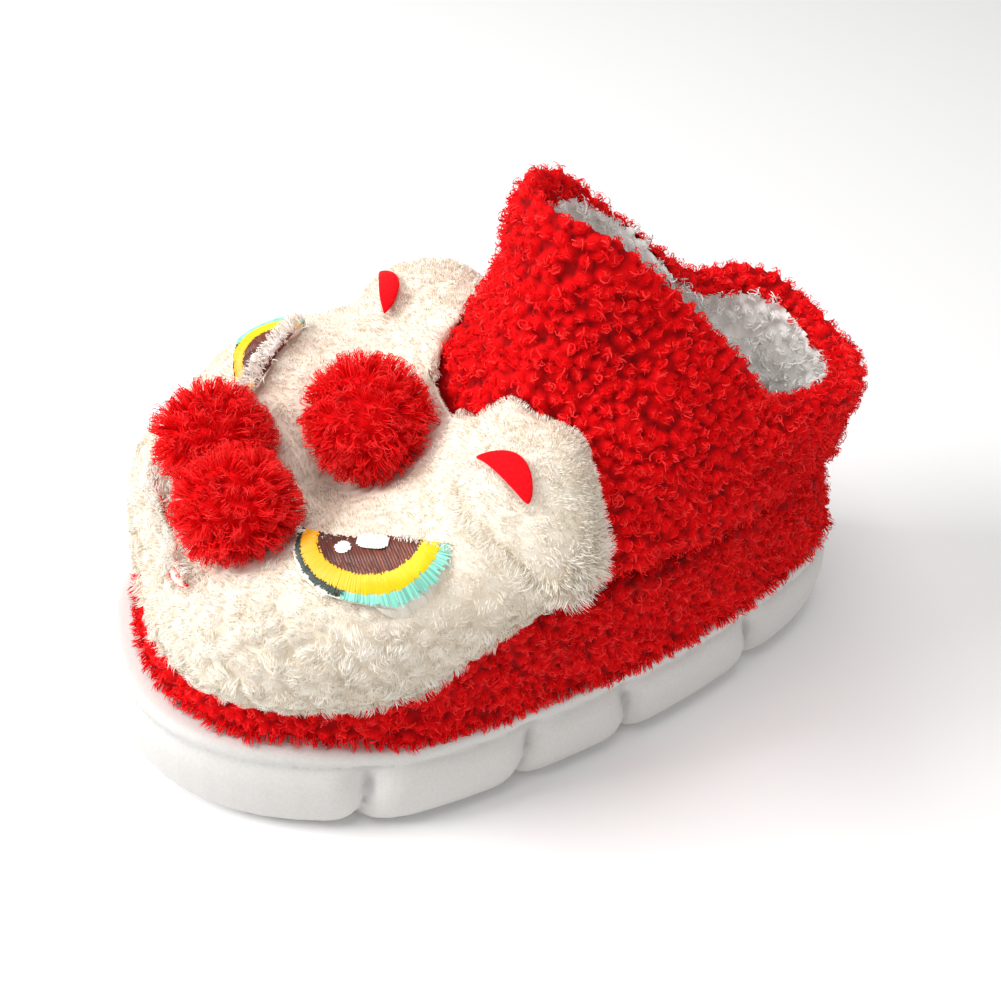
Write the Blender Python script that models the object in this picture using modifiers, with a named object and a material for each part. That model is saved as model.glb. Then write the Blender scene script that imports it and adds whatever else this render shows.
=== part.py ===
"""Child's plush animal slipper for the left foot.

A moulded sole carries a hollow fleece upper with a stuffed lion-dance head on its vamp.
The toe points to -Y, the wearer's left is +X and the sole stands on Z = 0. Sizes below are millimetres.
"""

import math

import bmesh
import bpy
import numpy as np

MM = 0.001

# Driving sizes
LENGTH = 200.0
BALL_HALF = 52.0
HEEL_HALF = 35.0
SOLE_TOE_HEIGHT = 26.5
SOLE_HEEL_HEIGHT = 28.5
TOE_SPRING = 4.0
TOE_SPRING_REACH = 30.0
ARCH_RISE = 3.0
ARCH_MIDDLE = 118.0
ARCH_REACH = 15.0
ARCH_SIDE = 0.35
TOE_CURVE = 4.0
TOE_CURVE_REACH = 90.0
HEEL_CURVE = 5.0
HEEL_CURVE_REACH = 100.0
TOE_POWER = 2.55
HEEL_POWER = 2.6
COLLAR_POWER = 2.1
INNER_FULLNESS = 0.6
TAPER_START = 0.30
TAPER_LENGTH = 0.55
WALL = 5.0
COLLAR_WALL = 8.0
PADDING_START = 0.35
PADDING_LENGTH = 0.3
INSOLE_THICKNESS = 4.0
INSOLE_CLEARANCE = 0.8
GAP = 0.3
PAD_GAP = 0.5

# Mesh steps
UPPER_TURNS = 64
INSOLE_TURNS = 36
FLOOR_STEPS = 4
HEAD_TURNS = 38
HEAD_ROWS = 14
EAR_TURNS = 16
EAR_ROWS = 6

# Turns, in degrees from the toe, at which the level table states a height
HEIGHT_TURNS = {
    "toe_z": 0.0,
    "ball_z": 45.0,
    "waist_z": 75.0,
    "flank_z": 90.0,
    "notch_z": 102.0,
    "quarter_z": 135.0,
    "heel_z": 180.0,
}


def table(names, rows):
    """A short table as a dictionary of named columns."""
    return dict(zip(names.split(), np.array(rows, float).T))


# Loops of the upper from the feather line to the rim of the collar. Front and back are places along the
# sole, ball and heel are half widths, and the other columns are heights round the loop from toe to heel.
LEVELS = table(
    "front back ball heel toe_z ball_z waist_z flank_z notch_z quarter_z heel_z",
    [
        (10.5, 194.5, 46.0, 30.5, 26.9, 27.2, 27.5, 27.8, 28.1, 28.5, 28.8),
        (10.5, 194.5, 46.0, 30.5, 29.9, 30.2, 30.5, 30.8, 31.1, 31.5, 31.8),
        (12.5, 193.0, 47.0, 30.5, 41.0, 41.0, 42.0, 42.5, 43.0, 43.0, 42.0),
        (18.0, 188.0, 44.0, 29.0, 52.0, 56.0, 60.0, 61.0, 61.0, 59.0, 57.0),
        (27.0, 188.5, 41.5, 31.5, 58.0, 65.0, 72.0, 72.0, 70.0, 67.0, 65.0),
        (45.0, 190.0, 35.5, 33.0, 62.0, 71.0, 82.0, 82.0, 79.0, 76.0, 74.0),
        (69.0, 190.5, 28.5, 34.0, 70.0, 85.0, 96.0, 91.0, 86.0, 85.0, 80.0),
        (88.0, 189.0, 22.0, 34.0, 99.0, 111.0, 110.0, 100.0, 91.0, 90.0, 84.0),
        (94.0, 186.0, 17.5, 33.0, 142.0, 138.5, 123.5, 108.5, 95.0, 93.5, 87.0),
    ],
)
TOP_LEVEL = len(LEVELS["front"]) - 1
CREASE_LEVEL = 3
LEVEL_STEP = 0.5

# Side of the sole: share of its height, and how far its section lies inside the widest outline
SOLE_SECTION = table(
    "height inset",
    [
        (0.00, 5.0),
        (0.05, 3.2),
        (0.13, 1.6),
        (0.27, 0.4),
        (0.42, 0.0),
        (0.58, 0.1),
        (0.70, 0.6),
        (0.79, 1.7),
        (0.85, 3.1),
        (0.89, 2.5),
        (0.97, 2.6),
        (1.00, 3.6),
    ],
)

# Edge of the insole: how far a ring lies inside its widest outline, and its height
INSOLE_SECTION = table(
    "edge height",
    [(0.6, 0.0), (0.0, 0.8), (0.0, INSOLE_THICKNESS - 1.2), (1.4, INSOLE_THICKNESS)],
)

# Grooves that part the sole's side into pillows: places along the sole at the floor and at the top
SOLE_GROOVES = table("floor top", [(47.5, 49.0), (89.0, 90.5), (122.0, 115.5), (165.0, 157.0)])
GROOVE_DEPTH = 4.8
GROOVE_HALF = 7.0
GROOVE_BOW = 2.5
GROOVE_TOP = 0.90
GROOVE_FADE = 0.25
GROOVE_FOOT = 0.2
GROOVE_MOUTH = 3.5
GROOVE_OPENING = 0.45

# Columns of points down each side of the sole: how many lie on each pillow from toe to heel, and where they
# lie across a groove, as shares of the way from its crease to the crown of the pillow
PILLOW_COLUMNS = (9, 3, 2, 3, 8)
GROOVE_COLUMNS = (-1.0, -0.55, -0.2, 0.0, 0.2, 0.55, 1.0)

# Treads under the sole: place along the sole, width across
TREADS = table(
    "along across",
    [
        (30.0, 54.0),
        (44.0, 66.0),
        (58.0, 72.0),
        (72.0, 72.0),
        (86.0, 68.0),
        (148.0, 40.0),
        (161.0, 40.0),
        (174.0, 36.0),
    ],
)
TREAD_WIDTH = 4.0
TREAD_DEPTH = 2.5

# Edge of the head pad on the upper: turn from the toe, and the levels of its lower and upper edge
HEAD_EDGE = table(
    "turn low high",
    [
        (0.0, 2.10, 6.70),
        (20.0, 2.10, 6.60),
        (45.0, 2.12, 5.70),
        (60.0, 2.18, 5.05),
        (70.0, 2.46, 4.45),
        (76.0, 2.84, 4.15),
        (84.0, 3.30, 3.80),
    ],
)
HEAD_REACH = 84.0
HEAD_THICKNESS = 5.5
HEAD_ROUNDING = 0.24
HEAD_HOLLOW = 1.5
PAD_EDGE = 0.02
HEAD_END = 0.12

# Swellings of the stuffed head: the side that they are on, 1 for left, -1 for right and 0 for both, the place
# across, along and above the floor, and their spread and rise. The right cheek is stuffed fuller
HEAD_SWELLS = table(
    "side across along above spread rise",
    [
        (0, 31.0, 54.0, 68.0, 12.0, 6.0),
        (0, 34.0, 29.0, 50.0, 12.0, 7.0),
        (0, 26.0, 22.0, 55.0, 9.0, 3.0),
        (0, 0.0, 19.0, 53.0, 6.0, -4.0),
        (0, 0.0, 66.0, 74.0, 10.0, -2.5),
        (-1, 30.0, 64.0, 76.0, 9.0, 10.0),
        (-1, 31.0, 46.0, 70.0, 9.0, 8.0),
    ],
)

# Ear round the head's upper edge: turn from the toe, rise above that edge in levels, and thickness
EAR = table(
    "turn rise thick",
    [
        (27.0, 0.20, 2.0),
        (32.0, 0.42, 5.0),
        (38.0, 0.60, 8.0),
        (45.0, 0.80, 11.0),
        (52.0, 1.00, 13.5),
        (60.0, 1.20, 15.8),
        (68.0, 1.40, 17.5),
        (75.0, 1.35, 17.5),
        (80.0, 1.15, 15.5),
        (85.0, 0.70, 9.5),
        (88.0, 0.25, 2.5),
    ],
)
EAR_TURN = 63.0
EAR_SPREAD = 23.0
EAR_BASE = 0.95
EAR_START = 0.06
EAR_ROUND = 0.6
EAR_FOOT = 0.35
EAR_EDGE = 0.03

# Pompoms on the head: place across, along and above the floor, radius, and the way out from the plane where
# the nose pair press against each other
POMPOMS = {
    "pompom_forehead": (0.0, 63.0, 87.5, 14.5, 0),
    "pompom_nose_left": (12.2, 31.0, 78.5, 13.4, 1),
    "pompom_nose_right": (-9.8, 31.0, 78.5, 13.4, -1),
}
POMPOM_LOCK = 1.2
LOCK_TURN = 2.4
NOSE_MIDDLE = 1.2
POMPOM_GAP = 0.4
SEAT_SPOTS = 5
SEAT_REACH = 3.0

# Half-round pieces sewn on a pad: the two ends of their straight edge and the far point of their round edge,
# each as a turn in degrees and a share of the pad's height. An eye's straight edge bends through its brow
EYES = {
    "left": {"inner": (27.0, 0.61), "outer": (63.5, 0.905), "brow": (45.5, 0.70), "round": (57.9, 0.596)},
    "right": {"inner": (30.0, 0.58), "outer": (57.0, 0.79), "brow": (40.0, 0.72), "round": (49.0, 0.605)},
}
EAR_FELTS = {
    "left": {"inner": (56.0, 0.38), "outer": (68.5, 0.44), "round": (62.0, 0.61)},
    "right": {"inner": (51.0, 0.25), "outer": (65.0, 0.31), "round": (57.0, 0.49)},
}
MOUTH = {"inner": (-20.0, 0.322), "outer": (21.5, 0.318), "round": (0.0, 0.262)}
FELT_THICKNESS = 1.0
PATCH_LIFT = 1.0
PATCH_SEGMENTS = 12
PATCH_RINGS = 4

COLOURS = {
    "sole": (0.80, 0.79, 0.76),
    "insole": (0.82, 0.78, 0.70),
    "upper": (0.72, 0.01, 0.02),
    "head": (0.86, 0.82, 0.74),
    "felt": (0.75, 0.02, 0.03),
    "eye": (0.30, 0.12, 0.06),
}


def spline(xs, ys, at):
    """Smooth curve through the points (xs, ys) that never overshoots them."""
    xs = np.asarray(xs, float)
    ys = np.asarray(ys, float)
    at = np.clip(np.asarray(at, float), xs[0], xs[-1])
    steps = np.diff(xs)
    rises = np.diff(ys, axis=0) / steps.reshape((-1,) + (1,) * (ys.ndim - 1))
    slopes = np.zeros_like(ys)
    same = rises[:-1] * rises[1:] > 0
    slopes[1:-1] = np.where(same, 2 * rises[:-1] * rises[1:] / np.where(same, rises[:-1] + rises[1:], 1), 0)
    slopes[0] = rises[0]
    slopes[-1] = rises[-1]
    k = np.clip(np.searchsorted(xs, at, side="right") - 1, 0, len(xs) - 2)
    t = (at - xs[k]) / steps[k]
    h = steps[k]
    a = (1 + 2 * t) * (1 - t) ** 2 * ys[k] + t * (1 - t) ** 2 * h * slopes[k]
    return a + t * t * (3 - 2 * t) * ys[k + 1] + t * t * (t - 1) * h * slopes[k + 1]


def side_curve(along):
    """Sideways curve of the last: its toe and its heel bend towards the inner side, the wearer's right."""
    toe = TOE_CURVE * np.clip(1 - along / TOE_CURVE_REACH, 0, 1) ** 2
    heel = HEEL_CURVE * np.clip(1 - (LENGTH - along) / HEEL_CURVE_REACH, 0, 1) ** 2
    return -toe - heel


def plan_loop(turn, front, back, ball, heel, heel_power=HEEL_POWER):
    """Plan of a rounded loop, x and y at a turn in radians from the toe; positive turns go to the left side.

    The heel is a little fuller on the inner side of the foot.
    """
    c = np.cos(turn)
    s = np.sin(turn)
    full = np.where(s < 0, heel_power + INNER_FULLNESS, heel_power)
    power = 2 / np.where(c > 0, TOE_POWER, full)
    share = (1 - np.sign(c) * np.abs(c) ** power) / 2
    along = front + (back - front) * share
    half = ball + (heel - ball) * np.clip((share - TAPER_START) / TAPER_LENGTH, 0, 1)
    x = np.sign(s) * np.abs(s) ** power * half + side_curve(along)
    return x, along - LENGTH / 2


def sole_top(y):
    """Height of the sole's upper face."""
    return SOLE_TOE_HEIGHT + (SOLE_HEEL_HEIGHT - SOLE_TOE_HEIGHT) * (y / LENGTH + 0.5)


def level_loop(level, turn):
    """Points of one loop of the upper."""
    row = {name: column[level] for name, column in LEVELS.items()}
    power = HEEL_POWER if level < CREASE_LEVEL else COLLAR_POWER
    x, y = plan_loop(turn, row["front"], row["back"], row["ball"], row["heel"], power)
    heights = [row[name] for name in HEIGHT_TURNS]
    z = spline(list(HEIGHT_TURNS.values()), heights, np.degrees(np.arccos(np.cos(turn))))
    return np.stack([x, y, z], -1)


def upper_point(turn, level):
    """Outer surface of the upper at turns in radians and levels counted from the feather line."""
    turn, level = np.broadcast_arrays(np.asarray(turn, float), np.asarray(level, float))
    loops = np.stack([level_loop(k, turn) for k in range(TOP_LEVEL + 1)])
    k = np.clip(np.floor(level).astype(int), 0, TOP_LEVEL - 1)
    t = (level - k)[..., None]

    def row(index):
        index = np.clip(index, 0, TOP_LEVEL)
        return np.take_along_axis(loops, index[None, ..., None], 0)[0]

    before, start, end, after = row(k - 1), row(k), row(k + 1), row(k + 2)
    first = np.where((k == 0)[..., None], end - start, (end - before) / 2)
    last = np.where((k == TOP_LEVEL - 1)[..., None], end - start, (after - start) / 2)
    point = (1 + 2 * t) * (1 - t) ** 2 * start + t * (1 - t) ** 2 * first
    return point + t * t * (3 - 2 * t) * end + t * t * (t - 1) * last


def surface_normal(surface, turn, height):
    """Outward normal of a surface that is a function of a turn and a height."""
    step = 0.01
    along = surface(turn + step, height) - surface(turn - step, height)
    up = surface(turn, height + step) - surface(turn, height - step)
    normal = np.cross(along, up)
    return normal / np.linalg.norm(normal, axis=-1, keepdims=True)


def on_upper(turn, level, height):
    """Points at a height over the upper's outer surface."""
    return upper_point(turn, level) + surface_normal(upper_point, turn, level) * np.asarray(height)[..., None]


def rounded(share, reach):
    """Quarter-round rise from 0 at an edge to 1 at reach."""
    return np.sqrt(np.clip(1 - (1 - np.clip(share / reach, 0, 1)) ** 2, 0, 1))


def head_level(turn, share):
    """Level of the head pad between its lower edge, share 0, and its upper edge, share 1."""
    degrees = np.degrees(np.abs(turn))
    low = spline(HEAD_EDGE["turn"], HEAD_EDGE["low"], degrees)
    high = spline(HEAD_EDGE["turn"], HEAD_EDGE["high"], degrees)
    return low + (high - low) * share


def head_thickness(turn, share):
    """Thickness of the stuffed head over the upper."""
    base = upper_point(turn, head_level(turn, share))
    thick = np.full(base.shape[:-1], HEAD_THICKNESS)
    for side, across, along, above, spread, rise in zip(*HEAD_SWELLS.values()):
        offset = base[..., 0] - side_curve(along)
        away = ((offset * side if side else np.abs(offset)) - across) ** 2
        away = away + (base[..., 1] + LENGTH / 2 - along) ** 2 + (base[..., 2] - above) ** 2
        thick = thick + rise * np.exp(-away / (2 * spread**2))
    ends = rounded(1 - np.degrees(np.abs(turn)) / HEAD_REACH + PAD_EDGE, HEAD_END)
    to_ear = EAR_BASE * np.exp(-(((np.degrees(np.abs(turn)) - EAR_TURN) / EAR_SPREAD) ** 4))
    back = to_ear + (1 - to_ear) * rounded(1 + PAD_EDGE - share, HEAD_ROUNDING)
    return thick * ends * rounded(share + PAD_EDGE, HEAD_ROUNDING) * back


def head_point(turn, share, lift=0.0):
    """Outer surface of the head, or a point lifted off it."""
    return on_upper(turn, head_level(turn, share), PAD_GAP + head_thickness(turn, share) + lift)


def new_object(name, points, faces, colour, collection):
    """A mesh object with its own material, its points given in millimetres."""
    mesh = bpy.data.meshes.new(name)
    mesh.from_pydata([tuple(p) for p in np.asarray(points) * MM], [], faces)
    mesh.update()
    obj = bpy.data.objects.new(name, mesh)
    collection.objects.link(obj)
    finish(obj, colour)
    return obj


def finish(obj, colour):
    """A Principled material in the part's own colour."""
    material = bpy.data.materials.new(obj.name)
    material.use_nodes = True
    shader = material.node_tree.nodes["Principled BSDF"]
    shader.inputs["Base Color"].default_value = (*COLOURS[colour], 1)
    shader.inputs["Roughness"].default_value = 0.9
    shader.inputs["Metallic"].default_value = 0.0
    obj.data.materials.append(material)


def outward(obj):
    """Turns every face of a closed mesh outwards."""
    mesh = bmesh.new()
    mesh.from_mesh(obj.data)
    bmesh.ops.recalc_face_normals(mesh, faces=mesh.faces)
    mesh.to_mesh(obj.data)
    mesh.free()


def ring_faces(count, rings):
    """Quads between closed rings of count points each."""
    faces = []
    for ring in range(rings - 1):
        for i in range(count):
            j = (i + 1) % count
            faces.append((ring * count + i, ring * count + j, (ring + 1) * count + j, (ring + 1) * count + i))
    return faces


def grid_faces(rows, columns, start=0):
    """Quads of an open grid."""
    faces = []
    for r in range(rows - 1):
        for c in range(columns - 1):
            a = start + r * columns + c
            faces.append((a, a + 1, a + columns + 1, a + columns))
    return faces


def across_cap(ring, start, steps, height):
    """Fills a ring that is even about its length with cross rows, whose height is a function of x and y."""
    count = len(ring)
    half = count // 2
    points = []
    rows = [[0]]
    for i in range(1, half):
        left = ring[i]
        right = ring[count - i]
        row = [i]
        for step in range(1, steps):
            spot = left + (right - left) * step / steps
            spot[2] = height(spot[0], spot[1])
            row.append(start + len(points))
            points.append(spot)
        rows.append(row + [count - i])
    rows.append([half])
    faces = []
    for upper, lower in zip(rows[:-1], rows[1:]):
        if len(upper) == 1:
            faces += [(upper[0], lower[i], lower[i + 1]) for i in range(steps)]
        elif len(lower) == 1:
            faces += [(upper[i], lower[0], upper[i + 1]) for i in range(steps)]
        else:
            faces += [(upper[i], lower[i], lower[i + 1], upper[i + 1]) for i in range(steps)]
    return points, faces


def floor_height(x, y):
    """Underside of the sole: toe spring in front and a shallow arch on the inner side."""
    along = y + LENGTH / 2
    spring = TOE_SPRING * np.clip(1 - along / TOE_SPRING_REACH, 0, 1) ** 2
    waist = np.exp(-(((along - ARCH_MIDDLE) / ARCH_REACH) ** 4))
    inner = np.clip(ARCH_SIDE - x / (2 * HEEL_HALF), 0, 1)
    return spring + ARCH_RISE * waist * inner


def turn_at(along, side):
    """Turn of the sole's outline at a place along it, on the left side, 1, or the right side, -1."""
    spread = 1 - 2 * along / LENGTH
    full = HEEL_POWER if side > 0 else HEEL_POWER + INNER_FULLNESS
    power = np.where(spread > 0, TOE_POWER, full) / 2
    return np.arccos(np.sign(spread) * np.abs(spread) ** power)


def groove_middles(height):
    """Places along the sole of the grooves' creases, at a share of its height."""
    slant = SOLE_GROOVES["floor"] + (SOLE_GROOVES["top"] - SOLE_GROOVES["floor"]) * height
    return slant + GROOVE_BOW * 4 * height * (1 - height)


def groove_mouth(height):
    """Half of a groove's flat bottom, which opens towards the ledge."""
    return GROOVE_MOUTH * np.clip((height - GROOVE_OPENING) / (1 - GROOVE_OPENING), 0, 1)


def groove_inset(along, height):
    """How far the grooves between the puffed pillows cut into the sole's side."""
    inset = np.zeros_like(along)
    for middle in groove_middles(height):
        away = np.clip((np.abs(along - middle) - groove_mouth(height)) / GROOVE_HALF, 0, 1)
        inset = inset + 1 - rounded(away, 1.0)
    fade = np.clip((GROOVE_TOP - height) / GROOVE_FADE, 0, 1)
    return GROOVE_DEPTH * rounded(height + GROOVE_FOOT, 0.5) * fade * inset


def loop_turns(count):
    """Even turns round a closed loop, from the toe over the left side."""
    return np.arange(count) * 2 * math.pi / count


def side_turns(height, side):
    """Turns of the columns down one side of the sole, closest together across the grooves."""
    across = np.array(GROOVE_COLUMNS)
    across = across * GROOVE_HALF + np.sign(across) * groove_mouth(height)
    grooves = [turn_at(middle + across, side) for middle in groove_middles(height)]
    starts = [0.0] + [groove[-1] for groove in grooves]
    ends = [groove[0] for groove in grooves] + [math.pi]
    turns = [[0.0]]
    for number, columns in enumerate(PILLOW_COLUMNS):
        turns.append(np.linspace(starts[number], ends[number], columns + 2)[1:-1])
        turns.append(grooves[number] if number < len(grooves) else [math.pi])
    return np.concatenate(turns)


def sole_turns(height):
    """Turns of the columns round the sole, from the toe over the left side and back over the right."""
    return np.append(side_turns(height, 1), -side_turns(height, -1)[-2:0:-1])


def inset_loop(turn, inset):
    """Sole outline moved inwards by an inset for each point."""
    x, y = plan_loop(turn, 0.0, LENGTH, BALL_HALF, HEEL_HALF)
    flat = np.stack([x, y], -1)
    tangent = np.roll(flat, -1, 0) - np.roll(flat, 1, 0)
    normal = np.stack([tangent[:, 1], -tangent[:, 0]], -1)
    normal /= np.linalg.norm(normal, axis=1, keepdims=True)
    return flat - normal * np.reshape(inset, (-1, 1))


def make_sole(collection, helpers):
    """Moulded sole: pillowed side, ledge, toe spring, arch and treads."""
    rings = []
    for height, inset in zip(SOLE_SECTION["height"], SOLE_SECTION["inset"]):
        turn = sole_turns(height)
        along = inset_loop(turn, 0.0)[:, 1] + LENGTH / 2
        flat = inset_loop(turn, inset + groove_inset(along, height))
        floor = floor_height(flat[:, 0], flat[:, 1])
        top = sole_top(flat[:, 1])
        rings.append(np.column_stack([flat, floor + (top - floor) * height]))
    points = [p for ring in rings for p in ring]
    count = len(rings[0])
    faces = ring_faces(count, len(rings))
    bottom, bottom_faces = across_cap(rings[0], len(points), FLOOR_STEPS, floor_height)
    points += bottom
    faces += bottom_faces
    last = (len(rings) - 1) * count
    top, top_faces = across_cap(rings[-1], len(points) - last, 2, lambda x, y: sole_top(y))
    faces += [tuple(i + last for i in face) for face in top_faces]
    points += top
    sole = new_object("sole", points, faces, "sole", collection)
    outward(sole)
    for number, (place, across) in enumerate(zip(TREADS["along"], TREADS["across"])):
        bpy.ops.mesh.primitive_cube_add(size=1, location=(0, (place - LENGTH / 2) * MM, 0))
        cutter = bpy.context.active_object
        cutter.name = f"tread_cutter_{number}"
        cutter.scale = (across * MM, TREAD_WIDTH * MM, 2 * TREAD_DEPTH * MM)
        hide_helper(cutter, helpers)
        cut = sole.modifiers.new(cutter.name, "BOOLEAN")
        cut.operation = "DIFFERENCE"
        cut.solver = "EXACT"
        cut.object = cutter
    return sole


def hide_helper(obj, helpers):
    """Moves a cutter to the helper collection."""
    for owner in list(obj.users_collection):
        owner.objects.unlink(obj)
    helpers.objects.link(obj)
    obj.hide_render = True
    obj.display_type = "WIRE"


def make_upper(collection):
    """Hollow fleece upper: an open surface from the feather line to the collar, with a padded heel collar."""
    turn = loop_turns(UPPER_TURNS)
    levels = np.append(np.arange(CREASE_LEVEL), np.arange(CREASE_LEVEL, TOP_LEVEL + LEVEL_STEP, LEVEL_STEP))
    points = np.concatenate([upper_point(turn, level) for level in levels])
    upper = new_object("upper", points, ring_faces(UPPER_TURNS, len(levels)), "upper", collection)
    padding = upper.vertex_groups.new(name="padding")
    for ring, level in enumerate(levels):
        for i, angle in enumerate(turn):
            behind = np.clip(((1 - math.cos(angle)) / 2 - PADDING_START) / PADDING_LENGTH, 0, 1)
            raised = np.clip(level - CREASE_LEVEL, 0, 1)
            share = (WALL + (COLLAR_WALL - WALL) * behind * raised) / COLLAR_WALL
            padding.add([ring * UPPER_TURNS + i], float(share), "REPLACE")
    shell = upper.modifiers.new("wall", "SOLIDIFY")
    shell.thickness = COLLAR_WALL * MM
    shell.offset = -1
    shell.vertex_group = "padding"
    shell.thickness_vertex_group = 0
    shell.use_quality_normals = True
    return upper


def make_insole(collection):
    """Footbed inside the wall of the upper, on the sole."""
    turn = loop_turns(INSOLE_TURNS)
    row = {name: LEVELS[name][0] for name in ("front", "back", "ball", "heel")}
    rings = []
    for edge, height in zip(INSOLE_SECTION["edge"], INSOLE_SECTION["height"]):
        shrink = WALL + INSOLE_CLEARANCE + edge
        x, y = plan_loop(
            turn, row["front"] + shrink, row["back"] - shrink, row["ball"] - shrink, row["heel"] - shrink
        )
        rings.append(np.column_stack([x, y, sole_top(y) + GAP + height]))
    points = [p for ring in rings for p in ring]
    faces = ring_faces(len(turn), len(rings))
    faces.append(tuple(range(len(turn))))
    last = (len(rings) - 1) * len(turn)
    lift = GAP + INSOLE_THICKNESS
    top, top_faces = across_cap(rings[-1], len(points) - last, 2, lambda x, y: sole_top(y) + lift)
    points += top
    faces += [tuple(i + last for i in face) for face in top_faces]
    insole = new_object("insole", points, faces, "insole", collection)
    outward(insole)
    return insole


def make_pad(name, inner, outer, colour, collection):
    """Closed pad between two grids of points of one size."""
    rows, columns = inner.shape[:2]
    count = rows * columns
    faces = [face[::-1] for face in grid_faces(rows, columns)] + grid_faces(rows, columns, count)
    border = [(0, c) for c in range(columns)] + [(r, columns - 1) for r in range(1, rows)]
    border += [(rows - 1, c) for c in range(columns - 2, -1, -1)] + [(r, 0) for r in range(rows - 2, 0, -1)]
    ring = [r * columns + c for r, c in border]
    for a, b in zip(ring, ring[1:] + ring[:1]):
        faces.append((a, b, b + count, a + count))
    points = np.concatenate([inner.reshape(-1, 3), outer.reshape(-1, 3)])
    pad = new_object(name, points, faces, colour, collection)
    outward(pad)
    return pad


def make_head(collection):
    """Stuffed lion head on the vamp, from the chin to the ears."""
    turn, share = head_grid(HEAD_TURNS + 1, HEAD_ROWS + 1)
    inner = on_upper(turn, head_level(turn, share), PAD_GAP + HEAD_HOLLOW * share)
    return make_pad("head", inner, head_point(turn, share), "head", collection)


def ear_level(turn, share):
    """Level of an ear from its base on the head's upper edge, share 0, to its rim, share 1."""
    rise = spline(EAR["turn"], EAR["rise"], np.degrees(np.abs(turn)))
    return head_level(turn, 1.0) + EAR_START + rise * share


def ear_point(turn, share, lift=0.0):
    """Outer surface of an ear, or a point lifted off it."""
    thick = spline(EAR["turn"], EAR["thick"], np.degrees(np.abs(turn)))
    thick = thick * rounded(1 + EAR_EDGE - share, EAR_ROUND) * rounded(share + EAR_FOOT, EAR_ROUND)
    return on_upper(turn, ear_level(turn, share), PAD_GAP + thick + lift)


def make_ear(side, collection):
    """One stuffed ear behind the brow, lying on the upper."""
    turn, share = ear_grid(1 if side == "left" else -1, EAR_TURNS + 1, EAR_ROWS + 1)
    inner = on_upper(turn, ear_level(turn, share), np.full(turn.shape, PAD_GAP))
    return make_pad(f"ear_{side}", inner, ear_point(turn, share), "head", collection)


def ear_grid(sign, turns, rows):
    """Turns and shares of an even grid over one ear."""
    turn = np.radians(np.linspace(EAR["turn"][0], EAR["turn"][-1], turns))[None, :] * sign
    return np.broadcast_arrays(turn, np.linspace(0, 1, rows)[:, None])


def head_grid(turns, rows):
    """Turns and shares of an even grid over the head."""
    turn = np.radians(np.linspace(-HEAD_REACH, HEAD_REACH, turns))[None, :]
    return np.broadcast_arrays(turn, np.linspace(0, 1, rows)[:, None])


def face_spots():
    """Points all over the outer surfaces of the head, the ears and the eyes."""
    spots = [head_point(*head_grid(4 * HEAD_TURNS, 4 * HEAD_ROWS))]
    for side, sign in (("left", 1), ("right", -1)):
        turn, share = patch_grid(EYES[side])
        spots.append(head_point(turn * sign, share, PATCH_LIFT + FELT_THICKNESS))
        spots.append(ear_point(*ear_grid(sign, 4 * EAR_TURNS, 4 * EAR_ROWS)))
    return np.concatenate([group.reshape(-1, 3) for group in spots])


def seat_height(x, y, spots):
    """Height of the face under a place, or the floor's where there is no face under it."""
    away = np.hypot(spots[:, 0] - x, spots[:, 1] - y)
    near = np.argpartition(away, SEAT_SPOTS)[:SEAT_SPOTS]
    return spots[near, 2].max() if away[near].min() < SEAT_REACH else 0.0


def make_pompom(name, across, along, above, radius, press, collection):
    """Curly pompom seated on the face, its locks standing out from the ball."""
    spots = face_spots()
    middle = np.array([across + side_curve(along), along - LENGTH / 2, above])
    plane = NOSE_MIDDLE + side_curve(along) + press * POMPOM_GAP / 2
    ball = bmesh.new()
    bmesh.ops.create_icosphere(ball, subdivisions=3, radius=1)
    for number, vertex in enumerate(ball.verts):
        lock = POMPOM_LOCK * math.sin(LOCK_TURN * number)
        x, y, z = middle + np.array(vertex.co) * (radius + lock)
        if press:
            x = press * max(press * x, press * plane)
        z = max(z, seat_height(x, y, spots) + POMPOM_GAP)
        vertex.co = (x * MM, y * MM, z * MM)
    mesh = bpy.data.meshes.new(name)
    ball.to_mesh(mesh)
    ball.free()
    obj = bpy.data.objects.new(name, mesh)
    collection.objects.link(obj)
    finish(obj, "upper")
    return obj


def patch_grid(shape):
    """Turns and shares of a half-round piece, from its middle outwards."""
    inner, outer, far = (np.array(shape[key]) for key in ("inner", "outer", "round"))
    middle = (inner + outer) / 2
    brow = np.array(shape.get("brow", middle))
    angle = np.linspace(0, math.pi, PATCH_SEGMENTS + 1)[None, :]
    reach = np.arange(1, PATCH_RINGS + 1)[:, None] / PATCH_RINGS
    along = np.append(0, -np.cos(angle) * reach)[:, None]
    down = np.append(0, np.sin(angle) * reach)[:, None]
    bend = (1 - along**2) * (1 - down) * (brow - middle)
    turn, share = (middle + along * (outer - inner) / 2 + down * (far - middle) + bend).T
    return np.radians(turn), share


def make_patch(name, surface, shape, sign, colour, collection):
    """Thin half-round piece sewn on a pad."""
    inner, outer, far = (np.array(shape[key]) for key in ("inner", "outer", "round"))
    turn, share = patch_grid(shape)
    points = surface(turn * sign, share, PATCH_LIFT)
    faces = [(0, k + 2, k + 1) for k in range(PATCH_SEGMENTS)]
    faces += grid_faces(PATCH_RINGS, PATCH_SEGMENTS + 1, 1)
    edge = outer - inner
    drop = far - (inner + outer) / 2
    order = sign if edge[0] * drop[1] > edge[1] * drop[0] else -sign
    patch = new_object(name, points, [face[::order] for face in faces], colour, collection)
    sheet = patch.modifiers.new("thickness", "SOLIDIFY")
    sheet.thickness = FELT_THICKNESS * MM
    sheet.offset = 1
    return patch


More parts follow.
